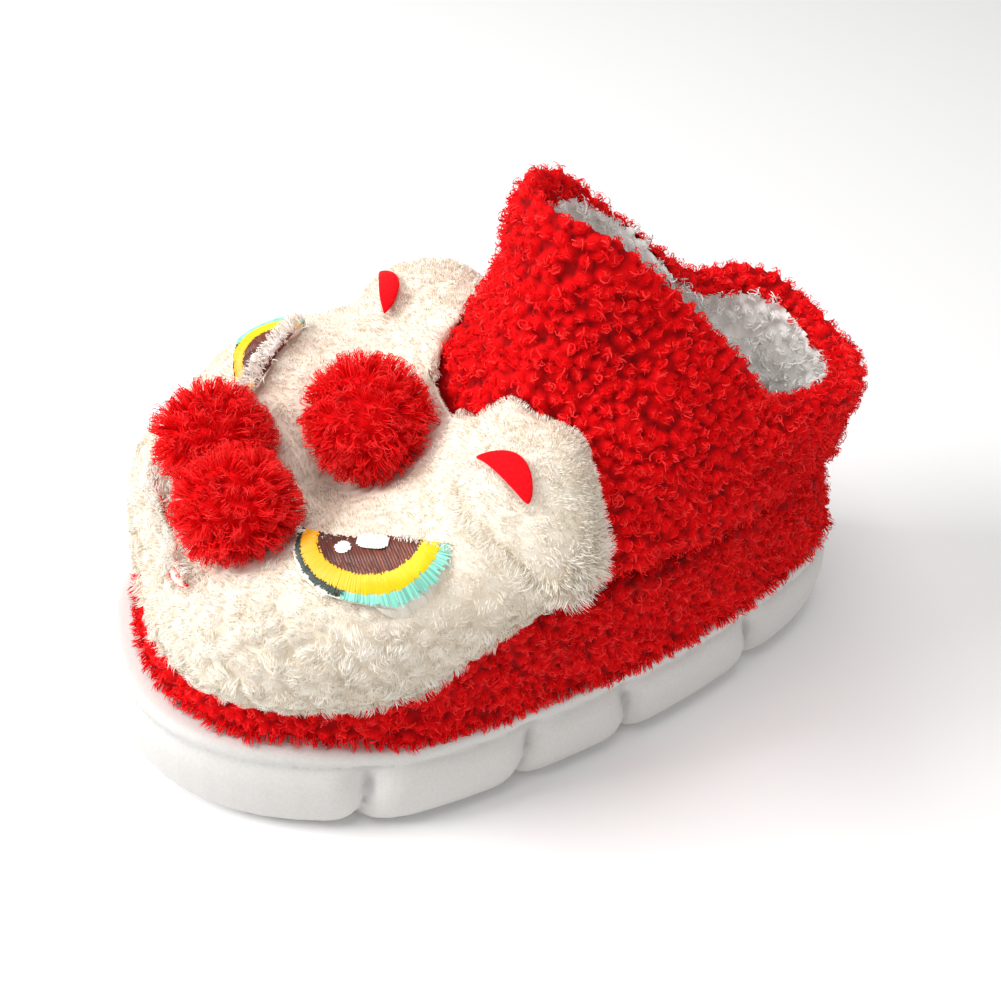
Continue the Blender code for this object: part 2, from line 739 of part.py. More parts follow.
def main():
    for obj in list(bpy.data.objects):
        bpy.data.objects.remove(obj, do_unlink=True)
    slipper = bpy.data.collections.new("animal_slipper")
    helpers = bpy.data.collections.new("helpers")
    bpy.context.scene.collection.children.link(slipper)
    bpy.context.scene.collection.children.link(helpers)
    make_sole(slipper, helpers)
    make_upper(slipper)
    make_insole(slipper)
    make_head(slipper)
    for side, sign in (("left", 1), ("right", -1)):
        make_ear(side, slipper)
        make_patch(f"eye_{side}", head_point, EYES[side], sign, "eye", slipper)
        make_patch(f"inner_ear_{side}", ear_point, EAR_FELTS[side], sign, "felt", slipper)
    make_patch("mouth", head_point, MOUTH, 1, "felt", slipper)
    for name, values in POMPOMS.items():
        make_pompom(name, *values, slipper)


main()
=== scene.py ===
# %% [markdown]
# # A child's plush slipper with a lion-dance face
#
# The slipper arrives as plain solids: a sole, a hollow upper, an insole, a stuffed head with ears and
# patches, and three pompoms. This lesson dresses each of them. The forms stay where the solids are, and
# what is added is what a hand would feel: foam grain, knotted fleece, plush nap, yarn and thread.

# %% Load the solids
import math

import bpy
import numpy as np
from mathutils import Matrix, Vector, noise
from mathutils.bvhtree import BVHTree
from mathutils.kdtree import KDTree


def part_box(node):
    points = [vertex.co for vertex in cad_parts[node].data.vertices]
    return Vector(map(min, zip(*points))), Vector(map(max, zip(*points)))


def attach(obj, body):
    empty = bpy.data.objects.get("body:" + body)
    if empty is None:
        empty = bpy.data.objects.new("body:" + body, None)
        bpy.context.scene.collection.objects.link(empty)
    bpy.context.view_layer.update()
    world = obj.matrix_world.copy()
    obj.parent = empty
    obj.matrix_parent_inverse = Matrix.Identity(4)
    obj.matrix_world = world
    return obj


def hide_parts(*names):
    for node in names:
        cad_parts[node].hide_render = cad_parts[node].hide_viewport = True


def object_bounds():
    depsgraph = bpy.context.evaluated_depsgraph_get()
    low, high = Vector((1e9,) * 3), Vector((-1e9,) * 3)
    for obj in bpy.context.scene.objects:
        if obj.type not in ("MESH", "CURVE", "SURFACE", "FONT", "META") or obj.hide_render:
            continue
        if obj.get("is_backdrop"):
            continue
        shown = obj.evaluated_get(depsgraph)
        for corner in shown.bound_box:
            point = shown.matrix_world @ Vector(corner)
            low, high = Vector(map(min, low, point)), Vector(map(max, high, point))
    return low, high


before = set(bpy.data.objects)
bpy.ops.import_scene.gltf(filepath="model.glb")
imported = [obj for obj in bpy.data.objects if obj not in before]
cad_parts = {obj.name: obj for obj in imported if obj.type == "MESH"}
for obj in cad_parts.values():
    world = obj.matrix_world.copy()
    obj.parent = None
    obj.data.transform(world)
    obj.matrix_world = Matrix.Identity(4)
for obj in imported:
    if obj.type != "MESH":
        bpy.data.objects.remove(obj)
cad_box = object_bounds()
MM = 0.001
print("solids:", sorted(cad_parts))

# %% [markdown]
# ## Camera
#
# The picture was taken from above and in front of the outer side, with the camera rolled a little. The
# camera keeps that place and is aimed at the middle of this one slipper.

# %% Camera
EYE_PLACE = Vector((0.2098, -0.1031, 0.2725))
AIM = Vector((-0.0045, -0.0005, 0.0500))
ROLL = math.radians(7.4)
LENS = 46.7

lens = bpy.data.cameras.new("camera")
lens.lens = LENS
lens.sensor_width = 36.0
camera = bpy.data.objects.new("camera", lens)
bpy.context.scene.collection.objects.link(camera)
look = (AIM - EYE_PLACE).to_track_quat("-Z", "Y").to_matrix()
camera.matrix_world = Matrix.Translation(EYE_PLACE) @ (look @ Matrix.Rotation(ROLL, 3, "Z")).to_4x4()
bpy.context.scene.camera = camera
print("camera is", round((AIM - EYE_PLACE).length, 3), "m from the slipper")

# %% [markdown]
# ## Floor and light
#
# A pale floor and three soft lamps, the strongest from above the toe on the left of the picture. The
# Standard view keeps the red as pure as red yarn looks in a bright studio.

# %% Floor and light
scene = bpy.context.scene
scene.view_settings.view_transform = "Standard"
world = bpy.data.worlds.new("studio")
world.use_nodes = True
world.node_tree.nodes["Background"].inputs["Color"].default_value = (1.0, 0.99, 0.98, 1)
world.node_tree.nodes["Background"].inputs["Strength"].default_value = 0.50
scene.world = world

LAMPS = {
    "key": ((-0.15, -0.85, 0.70), 0.4, 9.5),
    "fill": ((0.80, 0.20, 0.45), 0.8, 0.4),
    "top": ((0.02, -0.20, 1.0), 0.5, 4.2),
}
for name, (place, size, power) in LAMPS.items():
    lamp = bpy.data.lights.new(name, "AREA")
    lamp.size = size
    lamp.energy = power
    holder = bpy.data.objects.new(name, lamp)
    scene.collection.objects.link(holder)
    holder.location = place
    holder.rotation_euler = (AIM - Vector(place)).to_track_quat("-Z", "Y").to_euler()

bpy.ops.object.select_all(action="DESELECT")
bpy.ops.mesh.primitive_plane_add(size=6.0)
floor = bpy.context.active_object
floor.name = "floor"
floor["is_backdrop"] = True
print("lamps:", ", ".join(LAMPS))

# %% [markdown]
# ## Materials
#
# Every finish starts from the same shader. A fibre carries a number from 0 to 1 called shade, and its
# colour runs between a dark and a light tint by that number. Part of that number differs at random, as real
# dyed fibres differ from each other, and part is painted shade, darker in pits, creases, dips and at roots.

# %% Material helpers
def new_finish(name, roughness, sheen=0.0, specular=0.3, glow=(1.0, 1.0, 1.0)):
    """A Principled material with its constant values set on the shader."""
    finish = bpy.data.materials.new(name)
    finish.use_nodes = True
    shader = finish.node_tree.nodes["Principled BSDF"]
    shader.inputs["Roughness"].default_value = roughness
    shader.inputs["Specular IOR Level"].default_value = specular
    shader.inputs["Sheen Weight"].default_value = sheen
    shader.inputs["Sheen Roughness"].default_value = 0.4
    shader.inputs["Sheen Tint"].default_value = (*glow, 1)
    return finish, finish.node_tree, shader


def tint_by(tree, shader, value, stops):
    """Colours the shader by a value through a ramp of (position, colour) stops."""
    ramp = tree.nodes.new("ShaderNodeValToRGB")
    ramp.color_ramp.elements[0].position = stops[0][0]
    ramp.color_ramp.elements[0].color = (*stops[0][1], 1)
    ramp.color_ramp.elements[1].position = stops[-1][0]
    ramp.color_ramp.elements[1].color = (*stops[-1][1], 1)
    for position, colour in stops[1:-1]:
        ramp.color_ramp.elements.new(position).color = (*colour, 1)
    tree.links.new(value, ramp.inputs["Fac"])
    tree.links.new(ramp.outputs["Color"], shader.inputs["Base Color"])


def grain(tree, shader, size, strength, distance):
    """Fine bump of a given grain size in metres, on Object coordinates."""
    place = tree.nodes.new("ShaderNodeTexCoord")
    pattern = tree.nodes.new("ShaderNodeTexNoise")
    pattern.inputs["Scale"].default_value = 1 / size
    pattern.inputs["Detail"].default_value = 3.0
    bump = tree.nodes.new("ShaderNodeBump")
    bump.inputs["Strength"].default_value = strength
    bump.inputs["Distance"].default_value = distance
    tree.links.new(place.outputs["Object"], pattern.inputs["Vector"])
    tree.links.new(pattern.outputs["Fac"], bump.inputs["Height"])
    tree.links.new(bump.outputs["Normal"], shader.inputs["Normal"])
    return pattern


def stored(tree, name):
    """A node that reads a number or a colour stored on a piece's points."""
    reader = tree.nodes.new("ShaderNodeAttribute")
    reader.attribute_name = name
    return reader


def fibre_finish(name, stops, sheen=0.3, specular=0.2):
    """Dyed fibres, tinted by their shade."""
    finish, tree, shader = new_finish(name, 0.75, sheen, specular, stops[-1][1])
    tint_by(tree, shader, stored(tree, "shade").outputs["Fac"], stops)
    return finish


# %% Finishes of this slipper
# The dark end of each ramp is reached mostly by painted shade in pits, creases, dips and at roots.
RED_YARN = fibre_finish(
    "red_yarn",
    [
        (0.0, (0.16, 0.0, 0.001)),
        (0.3, (0.62, 0.0, 0.002)),
        (0.6, (0.95, 0.003, 0.005)),
        (1.0, (1.0, 0.035, 0.035)),
    ],
    specular=0.1,
)
CREAM_PLUSH = fibre_finish(
    "cream_plush",
    [
        (0.0, (0.48, 0.36, 0.24)),
        (0.4, (0.78, 0.68, 0.54)),
        (0.7, (0.88, 0.81, 0.70)),
        (1.0, (0.97, 0.935, 0.87)),
    ],
)
WHITE_SHERPA = fibre_finish(
    "white_sherpa",
    [(0.0, (0.70, 0.62, 0.52)), (0.5, (0.93, 0.90, 0.85)), (1.0, (0.99, 0.975, 0.95))],
)

floor_finish, _, floor_shader = new_finish("pale_floor", 0.9)
floor_shader.inputs["Base Color"].default_value = (0.9, 0.9, 0.9, 1)
floor.data.materials.append(floor_finish)
print("finishes:", [m.name for m in bpy.data.materials if m.users])

# %% [markdown]
# ## Editing a copy of a solid
#
# A solid is never changed. Its copy is merged, its triangles are joined to quads, and a Subdivision
# Surface rounds the facets away. A voxel Remesh then gives an even skin that pile can be shaped on.

# %% Editing helpers
def pick(piece):
    """Makes a piece the one selected object."""
    bpy.ops.object.select_all(action="DESELECT")
    piece.select_set(True)
    bpy.context.view_layer.objects.active = piece


def copy_of(node, name):
    """A merged copy of a solid, as the one selected object."""
    piece = bpy.data.objects.new(name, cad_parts[node].data.copy())
    piece.data.materials.clear()
    scene.collection.objects.link(piece)
    pick(piece)
    bpy.ops.object.mode_set(mode="EDIT")
    bpy.ops.mesh.select_all(action="SELECT")
    bpy.ops.mesh.remove_doubles(threshold=0.00002)
    bpy.ops.mesh.tris_convert_to_quads(face_threshold=math.radians(40), shape_threshold=math.radians(60))
    bpy.ops.object.mode_set(mode="OBJECT")
    return piece


def apply_modifier(piece, kind, **settings):
    """Adds a modifier, sets it and applies it."""
    pick(piece)
    modifier = piece.modifiers.new(kind.lower(), kind)
    for key, value in settings.items():
        setattr(modifier, key, value)
    bpy.ops.object.modifier_apply(modifier=modifier.name)


def smooth_faces(mesh):
    """Shades a mesh smooth."""
    mesh.polygons.foreach_set("use_smooth", np.ones(len(mesh.polygons), bool))


def soften(piece, voxel, rounds):
    """An even, smooth skin over a piece."""
    apply_modifier(piece, "SUBSURF", levels=1, render_levels=1)
    apply_modifier(piece, "REMESH", mode="VOXEL", voxel_size=voxel)
    apply_modifier(piece, "SMOOTH", factor=0.5, iterations=rounds)
    smooth_faces(piece.data)


def thin_mesh(piece, ratio):
    """Fewer faces where a skin is nearly flat, shaded smooth."""
    apply_modifier(piece, "DECIMATE", ratio=ratio)
    smooth_faces(piece.data)


def points_of(piece):
    """Places of a piece's points."""
    places = np.empty(3 * len(piece.data.vertices), np.float32)
    piece.data.vertices.foreach_get("co", places)
    return places.reshape(-1, 3).astype(float)


def normals_of(piece):
    """Smooth normals at a piece's points."""
    normals = np.empty(3 * len(piece.data.vertices), np.float32)
    piece.data.vertex_normals.foreach_get("vector", normals)
    return normals.reshape(-1, 3).astype(float)


def move_points(piece, places):
    """Puts a piece's points at new places."""
    piece.data.vertices.foreach_set("co", places.astype(np.float32).ravel())
    piece.data.update()


def set_shade(piece, shade, name="shade"):
    """Gives each point of a piece its shade, or another number by name."""
    layer = piece.data.attributes.new(name, "FLOAT", "POINT")
    layer.data.foreach_set("value", np.asarray(shade, np.float32))


def tree_of(piece):
    """A search tree over a piece's faces."""
    faces = [p.vertices[:] for p in piece.data.polygons]
    return BVHTree.FromPolygons([v.co for v in piece.data.vertices], faces)


def index_of(places):
    """A search index over places."""
    index = KDTree(len(places))
    for number, place in enumerate(places):
        index.insert(Vector(place), number)
    index.balance()
    return index


def nearest(index, places):
    """The entry of a search index nearest to each place: where it is, its number and how far off."""
    found = [index.find(Vector(p)) for p in places]
    return tuple(np.array([f[part] for f in found]) for part in range(3))


def ground_of(tree, places):
    """The place on a search tree nearest to each place, the normal there and how far off it is."""
    found = [tree.find_nearest(Vector(p)) for p in places]
    return tuple(np.array([f[part] for f in found]) for part in (0, 1, 3))


def dress(piece, finish, slot, *nodes):
    """The finish and the body of a piece, and the solids that it stands for, which are hidden. The slot is
    not used.
    """
    piece.data.materials.append(finish)
    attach(piece, "root")
    if nodes:
        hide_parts(*nodes)
    triangles = sum(len(p.vertices) - 2 for p in piece.data.polygons)
    print(f"{piece.name}: {triangles} triangles")


def soft_noise(places, size, seed=0.0):
    """Smooth noise from -1 to 1 at places, with lumps of a size in metres."""
    shift = Vector((seed, 2 * seed, -seed))
    return np.array([noise.noise(Vector(p) / size + shift) for p in places])


# %% [markdown]
# ## Pile
#
# Pile starts from roots. They are scattered over a skin, each with the skin's normal, and thinned out so
# that no two lie closer than a spacing. Fibres are thin ribbons along curved lines, joined in one mesh.

# %% Pile helpers
def scatter(piece, count, seed):
    """Random places on a piece's skin, with the smooth normal at each."""
    mesh = piece.data
    mesh.calc_loop_triangles()
    corners = np.empty(3 * len(mesh.loop_triangles), np.int32)
    mesh.loop_triangles.foreach_get("vertices", corners)
    corners = corners.reshape(-1, 3)
    places = points_of(piece)[corners]
    normals = normals_of(piece)[corners]
    areas = np.linalg.norm(np.cross(places[:, 1] - places[:, 0], places[:, 2] - places[:, 0]), axis=1)
    rng = np.random.default_rng(seed)
    chosen = rng.choice(len(corners), count, p=areas / areas.sum())
    a, b = rng.random((2, count))
    over = a + b > 1
    a[over], b[over] = 1 - a[over], 1 - b[over]
    weights = np.stack([1 - a - b, a, b], 1)[..., None]
    roots = (places[chosen] * weights).sum(1)
    upright = (normals[chosen] * weights).sum(1)
    return roots, upright / np.linalg.norm(upright, axis=1, keepdims=True)


def thin_out(roots, spacing):
    """Indices of roots of which no two lie closer than the spacing."""
    kept = {}
    chosen = []
    near = [(i, j, k) for i in (-1, 0, 1) for j in (-1, 0, 1) for k in (-1, 0, 1)]
    for number, root in enumerate(roots):
        cell = tuple(int(c) for c in np.floor(root / spacing))
        around = [p for i, j, k in near for p in kept.get((cell[0] + i, cell[1] + j, cell[2] + k), ())]
        if all(sum((a - b) ** 2 for a, b in zip(p, root)) >= spacing**2 for p in around):
            kept.setdefault(cell, []).append(tuple(root))
            chosen.append(number)
    return np.array(chosen)


def covered(roots, upright, trees, reach):
    """Which roots have one of the trees over them within a reach."""
    hidden = np.zeros(len(roots), bool)
    for number, (root, normal) in enumerate(zip(roots, upright)):
        start = Vector(root)
        hidden[number] = any(tree.ray_cast(start, Vector(normal), reach)[0] is not None for tree in trees)
    return hidden


def unit(vectors):
    """Vectors of length 1."""
    return vectors / np.maximum(np.linalg.norm(vectors, axis=-1, keepdims=True), 1e-9)


def across(normals, rng):
    """Two random directions square to each normal and to each other."""
    first = unit(np.cross(normals, rng.normal(size=normals.shape)))
    return first, np.cross(normals, first)


def ribbons(name, paths, widths, shade, taper, rng, facing=None):
    """Thin ribbons along paths, an array of fibre by point by place, joined in one mesh.

    Where facing gives a normal for each fibre, its ribbon turns its broad side that way.
    """
    count, steps = paths.shape[:2]
    along = np.gradient(paths, axis=1)
    broad = rng.normal(size=(count, 1, 3))
    if facing is not None:
        broad = 0.35 * broad + facing[:, None]
    side = unit(np.cross(along, broad))
    slim = np.interp(np.linspace(0, 1, steps), (0, 0.5, 1), taper)
    half = (np.reshape(widths, (-1, 1)) * slim / 2)[..., None]
    points = np.stack([paths - side * half, paths + side * half], 2).reshape(-1, 3)
    first = (np.arange(count)[:, None] * steps + np.arange(steps - 1)) * 2
    faces = np.stack([first, first + 1, first + 3, first + 2], -1).reshape(-1, 4)
    mesh = bpy.data.meshes.new(name)
    mesh.vertices.add(len(points))
    mesh.vertices.foreach_set("co", points.astype(np.float32).ravel())
    mesh.loops.add(faces.size)
    mesh.loops.foreach_set("vertex_index", faces.astype(np.int32).ravel())
    mesh.polygons.add(len(faces))
    mesh.polygons.foreach_set("loop_start", np.arange(len(faces), dtype=np.int32) * 4)
    mesh.update(calc_edges=True)
    smooth_faces(mesh)
    piece = bpy.data.objects.new(name, mesh)
    scene.collection.objects.link(piece)
    tone = np.broadcast_to(shade if np.ndim(shade) == 2 else np.reshape(shade, (-1, 1)), (count, steps))
    set_shade(piece, np.repeat(tone.ravel(), 2))
    return piece


def curl_paths(roots, upright, each, radius, low, high, steps, rng):
    """Curled fibres, so many at each root: arcs of a circle that stand over the skin at varied tilts."""
    roots = np.repeat(roots, each, 0)
    upright = np.repeat(upright, each, 0)
    count = len(roots)
    first, second = across(upright, rng)
    lean = rng.normal(0, 0.45, (count, 2, 1))
    rise = unit(upright + first * lean[:, 0] + second * lean[:, 1])
    spread = rng.normal(0, 0.45, (count, 2, 1)) * radius
    middle = roots + first * spread[:, 0] + second * spread[:, 1]
    middle += upright * rng.uniform(low, high, (count, 1))
    size = radius * rng.uniform(0.6, 1.25, (count, 1, 1))
    start = rng.uniform(0, 2 * math.pi, (count, 1))
    sweep = rng.uniform(2.4, 5.0, (count, 1))
    angle = (start + sweep * np.linspace(0, 1, steps))[..., None]
    return middle[:, None] + size * (np.cos(angle) * first[:, None] + np.sin(angle) * rise[:, None])


# %% [markdown]
# ## Sole
#
# The real sole is one piece of light foam, moulded with puffed pillows round its side. The solid already
# has the pillows, the ledge and the treads, so its copy is only remeshed and smoothed. The two thin lines
# that the mould leaves are too fine for the mesh: each point stores how far it is from a line, and the
# material presses the line in as bump. The grooves get painted shade, a darker colour, so each point also
# stores how deep it lies below an evened copy of the sole.

# %% Sole
PARTING_HEIGHT = 2.3 * MM
LEDGE_LINE = 5.0 * MM
LEDGE_HEIGHT = 22.5 * MM
HOLLOW_DEPTH = 0.9 * MM
EVENING_ROUNDS = 80

sole = copy_of("sole", "foam_sole")
apply_modifier(sole, "REMESH", mode="VOXEL", voxel_size=1.0 * MM)
apply_modifier(sole, "SMOOTH", factor=0.5, iterations=2)
thin_mesh(sole, 0.47)
places, normals = points_of(sole), normals_of(sole)
ledge = (places[:, 2] > LEDGE_HEIGHT) & (np.abs(normals[:, 2]) < 0.5)
rim = index_of(places[ledge] * (1, 1, 0))
inside = nearest(rim, places * (1, 1, 0))[2]
apart = np.where(normals[:, 2] > 0.6, np.abs(inside - LEDGE_LINE), np.abs(places[:, 2] - PARTING_HEIGHT))
set_shade(sole, np.clip(apart / MM, 0, 2), "line")
# Painted shade: a point is coloured the darker, the deeper it lies below an evened copy of the sole.
even = sole.copy()
even.data = sole.data.copy()
scene.collection.objects.link(even)
apply_modifier(even, "SMOOTH", factor=0.5, iterations=EVENING_ROUNDS)
hollow = ((points_of(even) - places) * normals).sum(1)
bpy.data.objects.remove(even)
set_shade(sole, np.clip(hollow / HOLLOW_DEPTH, 0, 1), "hollow")
print(f"deepest hollow against the evened sole: {1000 * hollow.max():.1f} mm")
print("ledge points:", int(ledge.sum()))

# %% Foam
GROOVE_SHADE = 0.70
LINE_HALF = 0.7
LINE_DEPTH = 0.8 * MM

foam, tree, shader = new_finish("foam", 0.55, 0.0, 0.35)
pattern = grain(tree, shader, 0.7 * MM, 0.3, 0.15 * MM)
tint_by(tree, shader, pattern.outputs["Fac"], [(0.3, (0.64, 0.625, 0.60)), (0.7, (0.69, 0.68, 0.66))])
# Painted shade: the base colour is dimmed where the stored hollow is deep.
groove_shade = tree.nodes.new("ShaderNodeMapRange")
groove_shade.inputs["To Min"].default_value = 1.0
groove_shade.inputs["To Max"].default_value = GROOVE_SHADE
shaded = tree.nodes.new("ShaderNodeHueSaturation")
tree.links.new(shader.inputs["Base Color"].links[0].from_socket, shaded.inputs["Color"])
tree.links.new(stored(tree, "hollow").outputs["Fac"], groove_shade.inputs["Value"])
tree.links.new(groove_shade.outputs["Result"], shaded.inputs["Value"])
tree.links.new(shaded.outputs["Color"], shader.inputs["Base Color"])
press = tree.nodes.new("ShaderNodeMapRange")
press.inputs["From Max"].default_value = LINE_HALF
groove = tree.nodes.new("ShaderNodeBump")
groove.inputs["Strength"].default_value = 1.0
groove.inputs["Distance"].default_value = LINE_DEPTH
tree.links.new(stored(tree, "line").outputs["Fac"], press.inputs["Value"])
tree.links.new(press.outputs["Result"], groove.inputs["Height"])
tree.links.new(shader.inputs["Normal"].links[0].from_socket, groove.inputs["Normal"])
tree.links.new(groove.outputs["Normal"], shader.inputs["Normal"])
dress(sole, foam, "sole", "sole")

# %% [markdown]
# ## Fleece upper
#
# Curly fleece is knitted cloth whose pile has been tumbled into little knots, about 3 mm across. It could be
# a particle system, but then its knots would not show in the outline. Here the skin itself rises in a dome
# over each knot, and curled fibres stand out of it. At the collar the red cloth is turned in over the edge
# before the white lining begins.

# %% Skin of the upper
upper_tree = tree_of(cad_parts["upper"])
upper = copy_of("upper", "fleece_upper")
soften(upper, 1.0 * MM, 6)
print("skin points:", len(upper.data.vertices))


# %% Outside and inside of the upper
HOLLOW_ACROSS = -2 * MM
HOLLOW_ALONG = (5 * MM, 40 * MM)


def hollow_middle(places):
    """Middle of the hollow at the height of each place."""
    bottom, top = (v[2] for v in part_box("upper"))
    share = np.clip((places[:, 2] - bottom) / (top - bottom), 0, 1)
    along = HOLLOW_ALONG[0] + (HOLLOW_ALONG[1] - HOLLOW_ALONG[0]) * share
    return np.stack([np.full(len(places), HOLLOW_ACROSS), along, places[:, 2]], 1)


def smooth_step(values, low, high):
    """0 below low, 1 above high and smooth between."""
    share = np.clip((values - low) / (high - low), 0, 1)
    return share * share * (3 - 2 * share)


def rim_depth(places):
    """How far each place lies below the collar's rim, by its direction from the collar's middle."""
    turn = np.arctan2(places[:, 0], places[:, 1] - COLLAR_MIDDLE)
    return np.interp(turn, RIM_TURNS, RIM_HEIGHTS, period=2 * math.pi) - places[:, 2]


COLLAR_MIDDLE = 38 * MM
RIM_STEPS = 72
FOLD_TURNS = np.radians([-180, -155, -115, -70, -30, 30, 70, 115, 155, 180])
FOLD_WIDTHS = np.array([8.0, 5.0, 0.5, 1.0, 3.5, 4.0, 3.0, 2.0, 5.0, 8.0]) * MM

upper_points = points_of(upper)
upper_normals = normals_of(upper)
facing = -(unit(upper_points - hollow_middle(upper_points)) * upper_normals).sum(1)
turns = np.arctan2(upper_points[:, 0], upper_points[:, 1] - COLLAR_MIDDLE)
bins = np.round((turns + math.pi) / (2 * math.pi) * RIM_STEPS).astype(int) % RIM_STEPS
RIM_TURNS = np.arange(RIM_STEPS) / RIM_STEPS * 2 * math.pi - math.pi
RIM_HEIGHTS = np.array([upper_points[bins == number, 2].max() for number in range(RIM_STEPS)])
RIM_HEIGHTS = (np.roll(RIM_HEIGHTS, 1) + RIM_HEIGHTS + np.roll(RIM_HEIGHTS, -1)) / 3
white = (facing > 0) & (rim_depth(upper_points) > np.interp(turns, FOLD_TURNS, FOLD_WIDTHS))
print("rim from", RIM_HEIGHTS.min().round(4), "to", RIM_HEIGHTS.max().round(4))

# %% Crease under the padded ankle, and the roll of cloth on the ledge
CREASE_PLACES = (-20 * MM, 10 * MM, 60 * MM, 95 * MM)
CREASE_HEIGHTS = (60 * MM, 61 * MM, 59 * MM, 57 * MM)
CREASE_DEPTH = 5.0 * MM
CREASE_HALF = 2.4 * MM
BULGE_RISE = 3.0 * MM
BULGE_ABOVE = 8 * MM
BULGE_HALF = 6 * MM
PUCKER_STEP = 11 * MM
PUCKER_DEPTH = 1.0 * MM
PUCKER_HALF = 9 * MM
SLACK_STEP = 20 * MM
SLACK_RISE = 1.1 * MM
ROLL_HEIGHT = 30.5 * MM
ROLL_HALF = 4.0 * MM
ROLL_RISE = 1.6 * MM


def over_crease(places):
    """Height of each place over the crease, and how much of the crease reaches it along the slipper."""
    above = places[:, 2] - np.interp(places[:, 1], CREASE_PLACES, CREASE_HEIGHTS)
    return above, smooth_step(places[:, 1], -25 * MM, 5 * MM)


def in_crease(places):
    """1 in the bottom of the crease and 0 away from it."""
    above, ankle = over_crease(places)
    return ankle * np.exp(-((above / (1.4 * CREASE_HALF)) ** 2))


outer = facing < 0
above, ankle = over_crease(upper_points)
ankle = ankle * outer
trough = -CREASE_DEPTH * np.exp(-((above / CREASE_HALF) ** 2))
bulge = BULGE_RISE * np.exp(-(((above - BULGE_ABOVE) / BULGE_HALF) ** 2))
pucker = np.sin(upper_points[:, 1] / PUCKER_STEP * 2 * math.pi + 9 * soft_noise(upper_points, 40 * MM))
pucker *= PUCKER_DEPTH * np.exp(-((above / PUCKER_HALF) ** 2))
slack = SLACK_RISE * soft_noise(upper_points, SLACK_STEP, 3.0) * outer
roll = ROLL_RISE * np.exp(-(((upper_points[:, 2] - ROLL_HEIGHT) / ROLL_HALF) ** 2)) * outer
rise = ankle * (trough + bulge + pucker) + slack + roll
move_points(upper, upper_points + upper_normals * rise[:, None])
print("crease moves points from", (rise.min() / MM).round(1), "to", (rise.max() / MM).round(1), "mm")

# %% Lining parted from the fleece
UNSEEN_DEPTH = 12 * MM

flags = np.array([all(white[v] for v in face.vertices) for face in upper.data.polygons])
pick(upper)
bpy.ops.object.mode_set(mode="EDIT")
bpy.ops.mesh.select_all(action="DESELECT")
bpy.ops.object.mode_set(mode="OBJECT")
upper.data.polygons.foreach_set("select", flags)
bpy.ops.object.mode_set(mode="EDIT")
bpy.ops.mesh.select_mode(type="FACE")
bpy.ops.mesh.separate(type="SELECTED")
bpy.ops.object.mode_set(mode="OBJECT")
lining = next(o for o in bpy.context.selected_objects if o != upper)
lining.name = "sherpa_lining"
deep = lining.vertex_groups.new(name="deep")
depth = rim_depth(points_of(lining))
deep.add(np.flatnonzero(depth > UNSEEN_DEPTH).tolist(), 1.0, "REPLACE")
apply_modifier(lining, "DECIMATE", ratio=0.35, vertex_group="deep")
print("fleece points:", len(upper.data.vertices), "lining points:", len(lining.data.vertices))


# %% Knot helper
def raise_knots(piece, knots, radius, height, dark, light, rng):
    """Raises a dome, large or small, over each knot of a skin and paints shade into its pits and crease."""
    places = points_of(piece)
    _, number, away = nearest(index_of(knots), places)
    large = rng.uniform(0.75, 1.2, len(knots))[number]
    dome = np.clip(1 - (away / (radius * large)) ** 2, 0, 1)
    fuzz = 0.2 * soft_noise(places, 1.3 * MM, 7.0)
    rise = height * (large * dome + fuzz - 0.4)
    move_points(piece, places + normals_of(piece) * rise[:, None])
    # Painted shade: the pits between domes, the dips of the fuzz and the crease are coloured darker.
    deep = 0.35 * in_crease(places)
    set_shade(piece, np.clip(dark + (light - dark) * dome + fuzz - deep, 0, 1))


# %% Knots of the fleece
KNOT_SPACING = 2.4 * MM
KNOT_RADIUS = 1.9 * MM
KNOT_HEIGHT = 1.1 * MM
KNOT_TRIALS = 60000
KNOT_ROOM = 6 * MM

rng = np.random.default_rng(5)
blockers = [tree_of(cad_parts[n]) for n in ("head", "ear_left", "ear_right", "sole", "insole")]
roots, upright = scatter(upper, KNOT_TRIALS, seed=11)
kept = thin_out(roots, KNOT_SPACING)
roots, upright = roots[kept], upright[kept]
open_air = ~covered(roots, upright, blockers, KNOT_ROOM)
knots, knot_normals = roots[open_air], upright[open_air]
# The fleece skin gets painted shade in the pits between its knots and in the crease.
raise_knots(upper, knots, KNOT_RADIUS, KNOT_HEIGHT, 0.10, 0.55, rng)
thin_mesh(upper, 0.8)
dress(upper, RED_YARN, "fleece", "upper")
print("knots:", len(knots))

# %% Curls of the fleece
CURLS_EACH = 10
CURL_RADIUS = 1.0 * MM
CURL_LIFT = (0.1 * MM, 1.1 * MM)

half = len(knots) // 2
order = np.argsort(knots[:, 1])
for name, chosen in (("fleece_curls_front", order[:half]), ("fleece_curls_back", order[half:])):
    stems = knots[chosen], knot_normals[chosen]
    paths = curl_paths(*stems, CURLS_EACH, CURL_RADIUS, *CURL_LIFT, 5, rng)
    # Painted shade: curls in the crease are coloured darker than the rest.
    each = np.repeat(rng.normal(0.70, 0.12, len(chosen)) - 0.45 * in_crease(stems[0]), CURLS_EACH)
    tone = np.clip(each + rng.normal(0, 0.2, len(paths)), 0, 1)
    widths = rng.uniform(0.2, 0.4, len(paths)) * MM
    out = np.repeat(stems[1], CURLS_EACH, 0)
    dress(ribbons(name, paths, widths, tone, (0.8, 1.0, 0.5), rng, out), RED_YARN, "fleece")


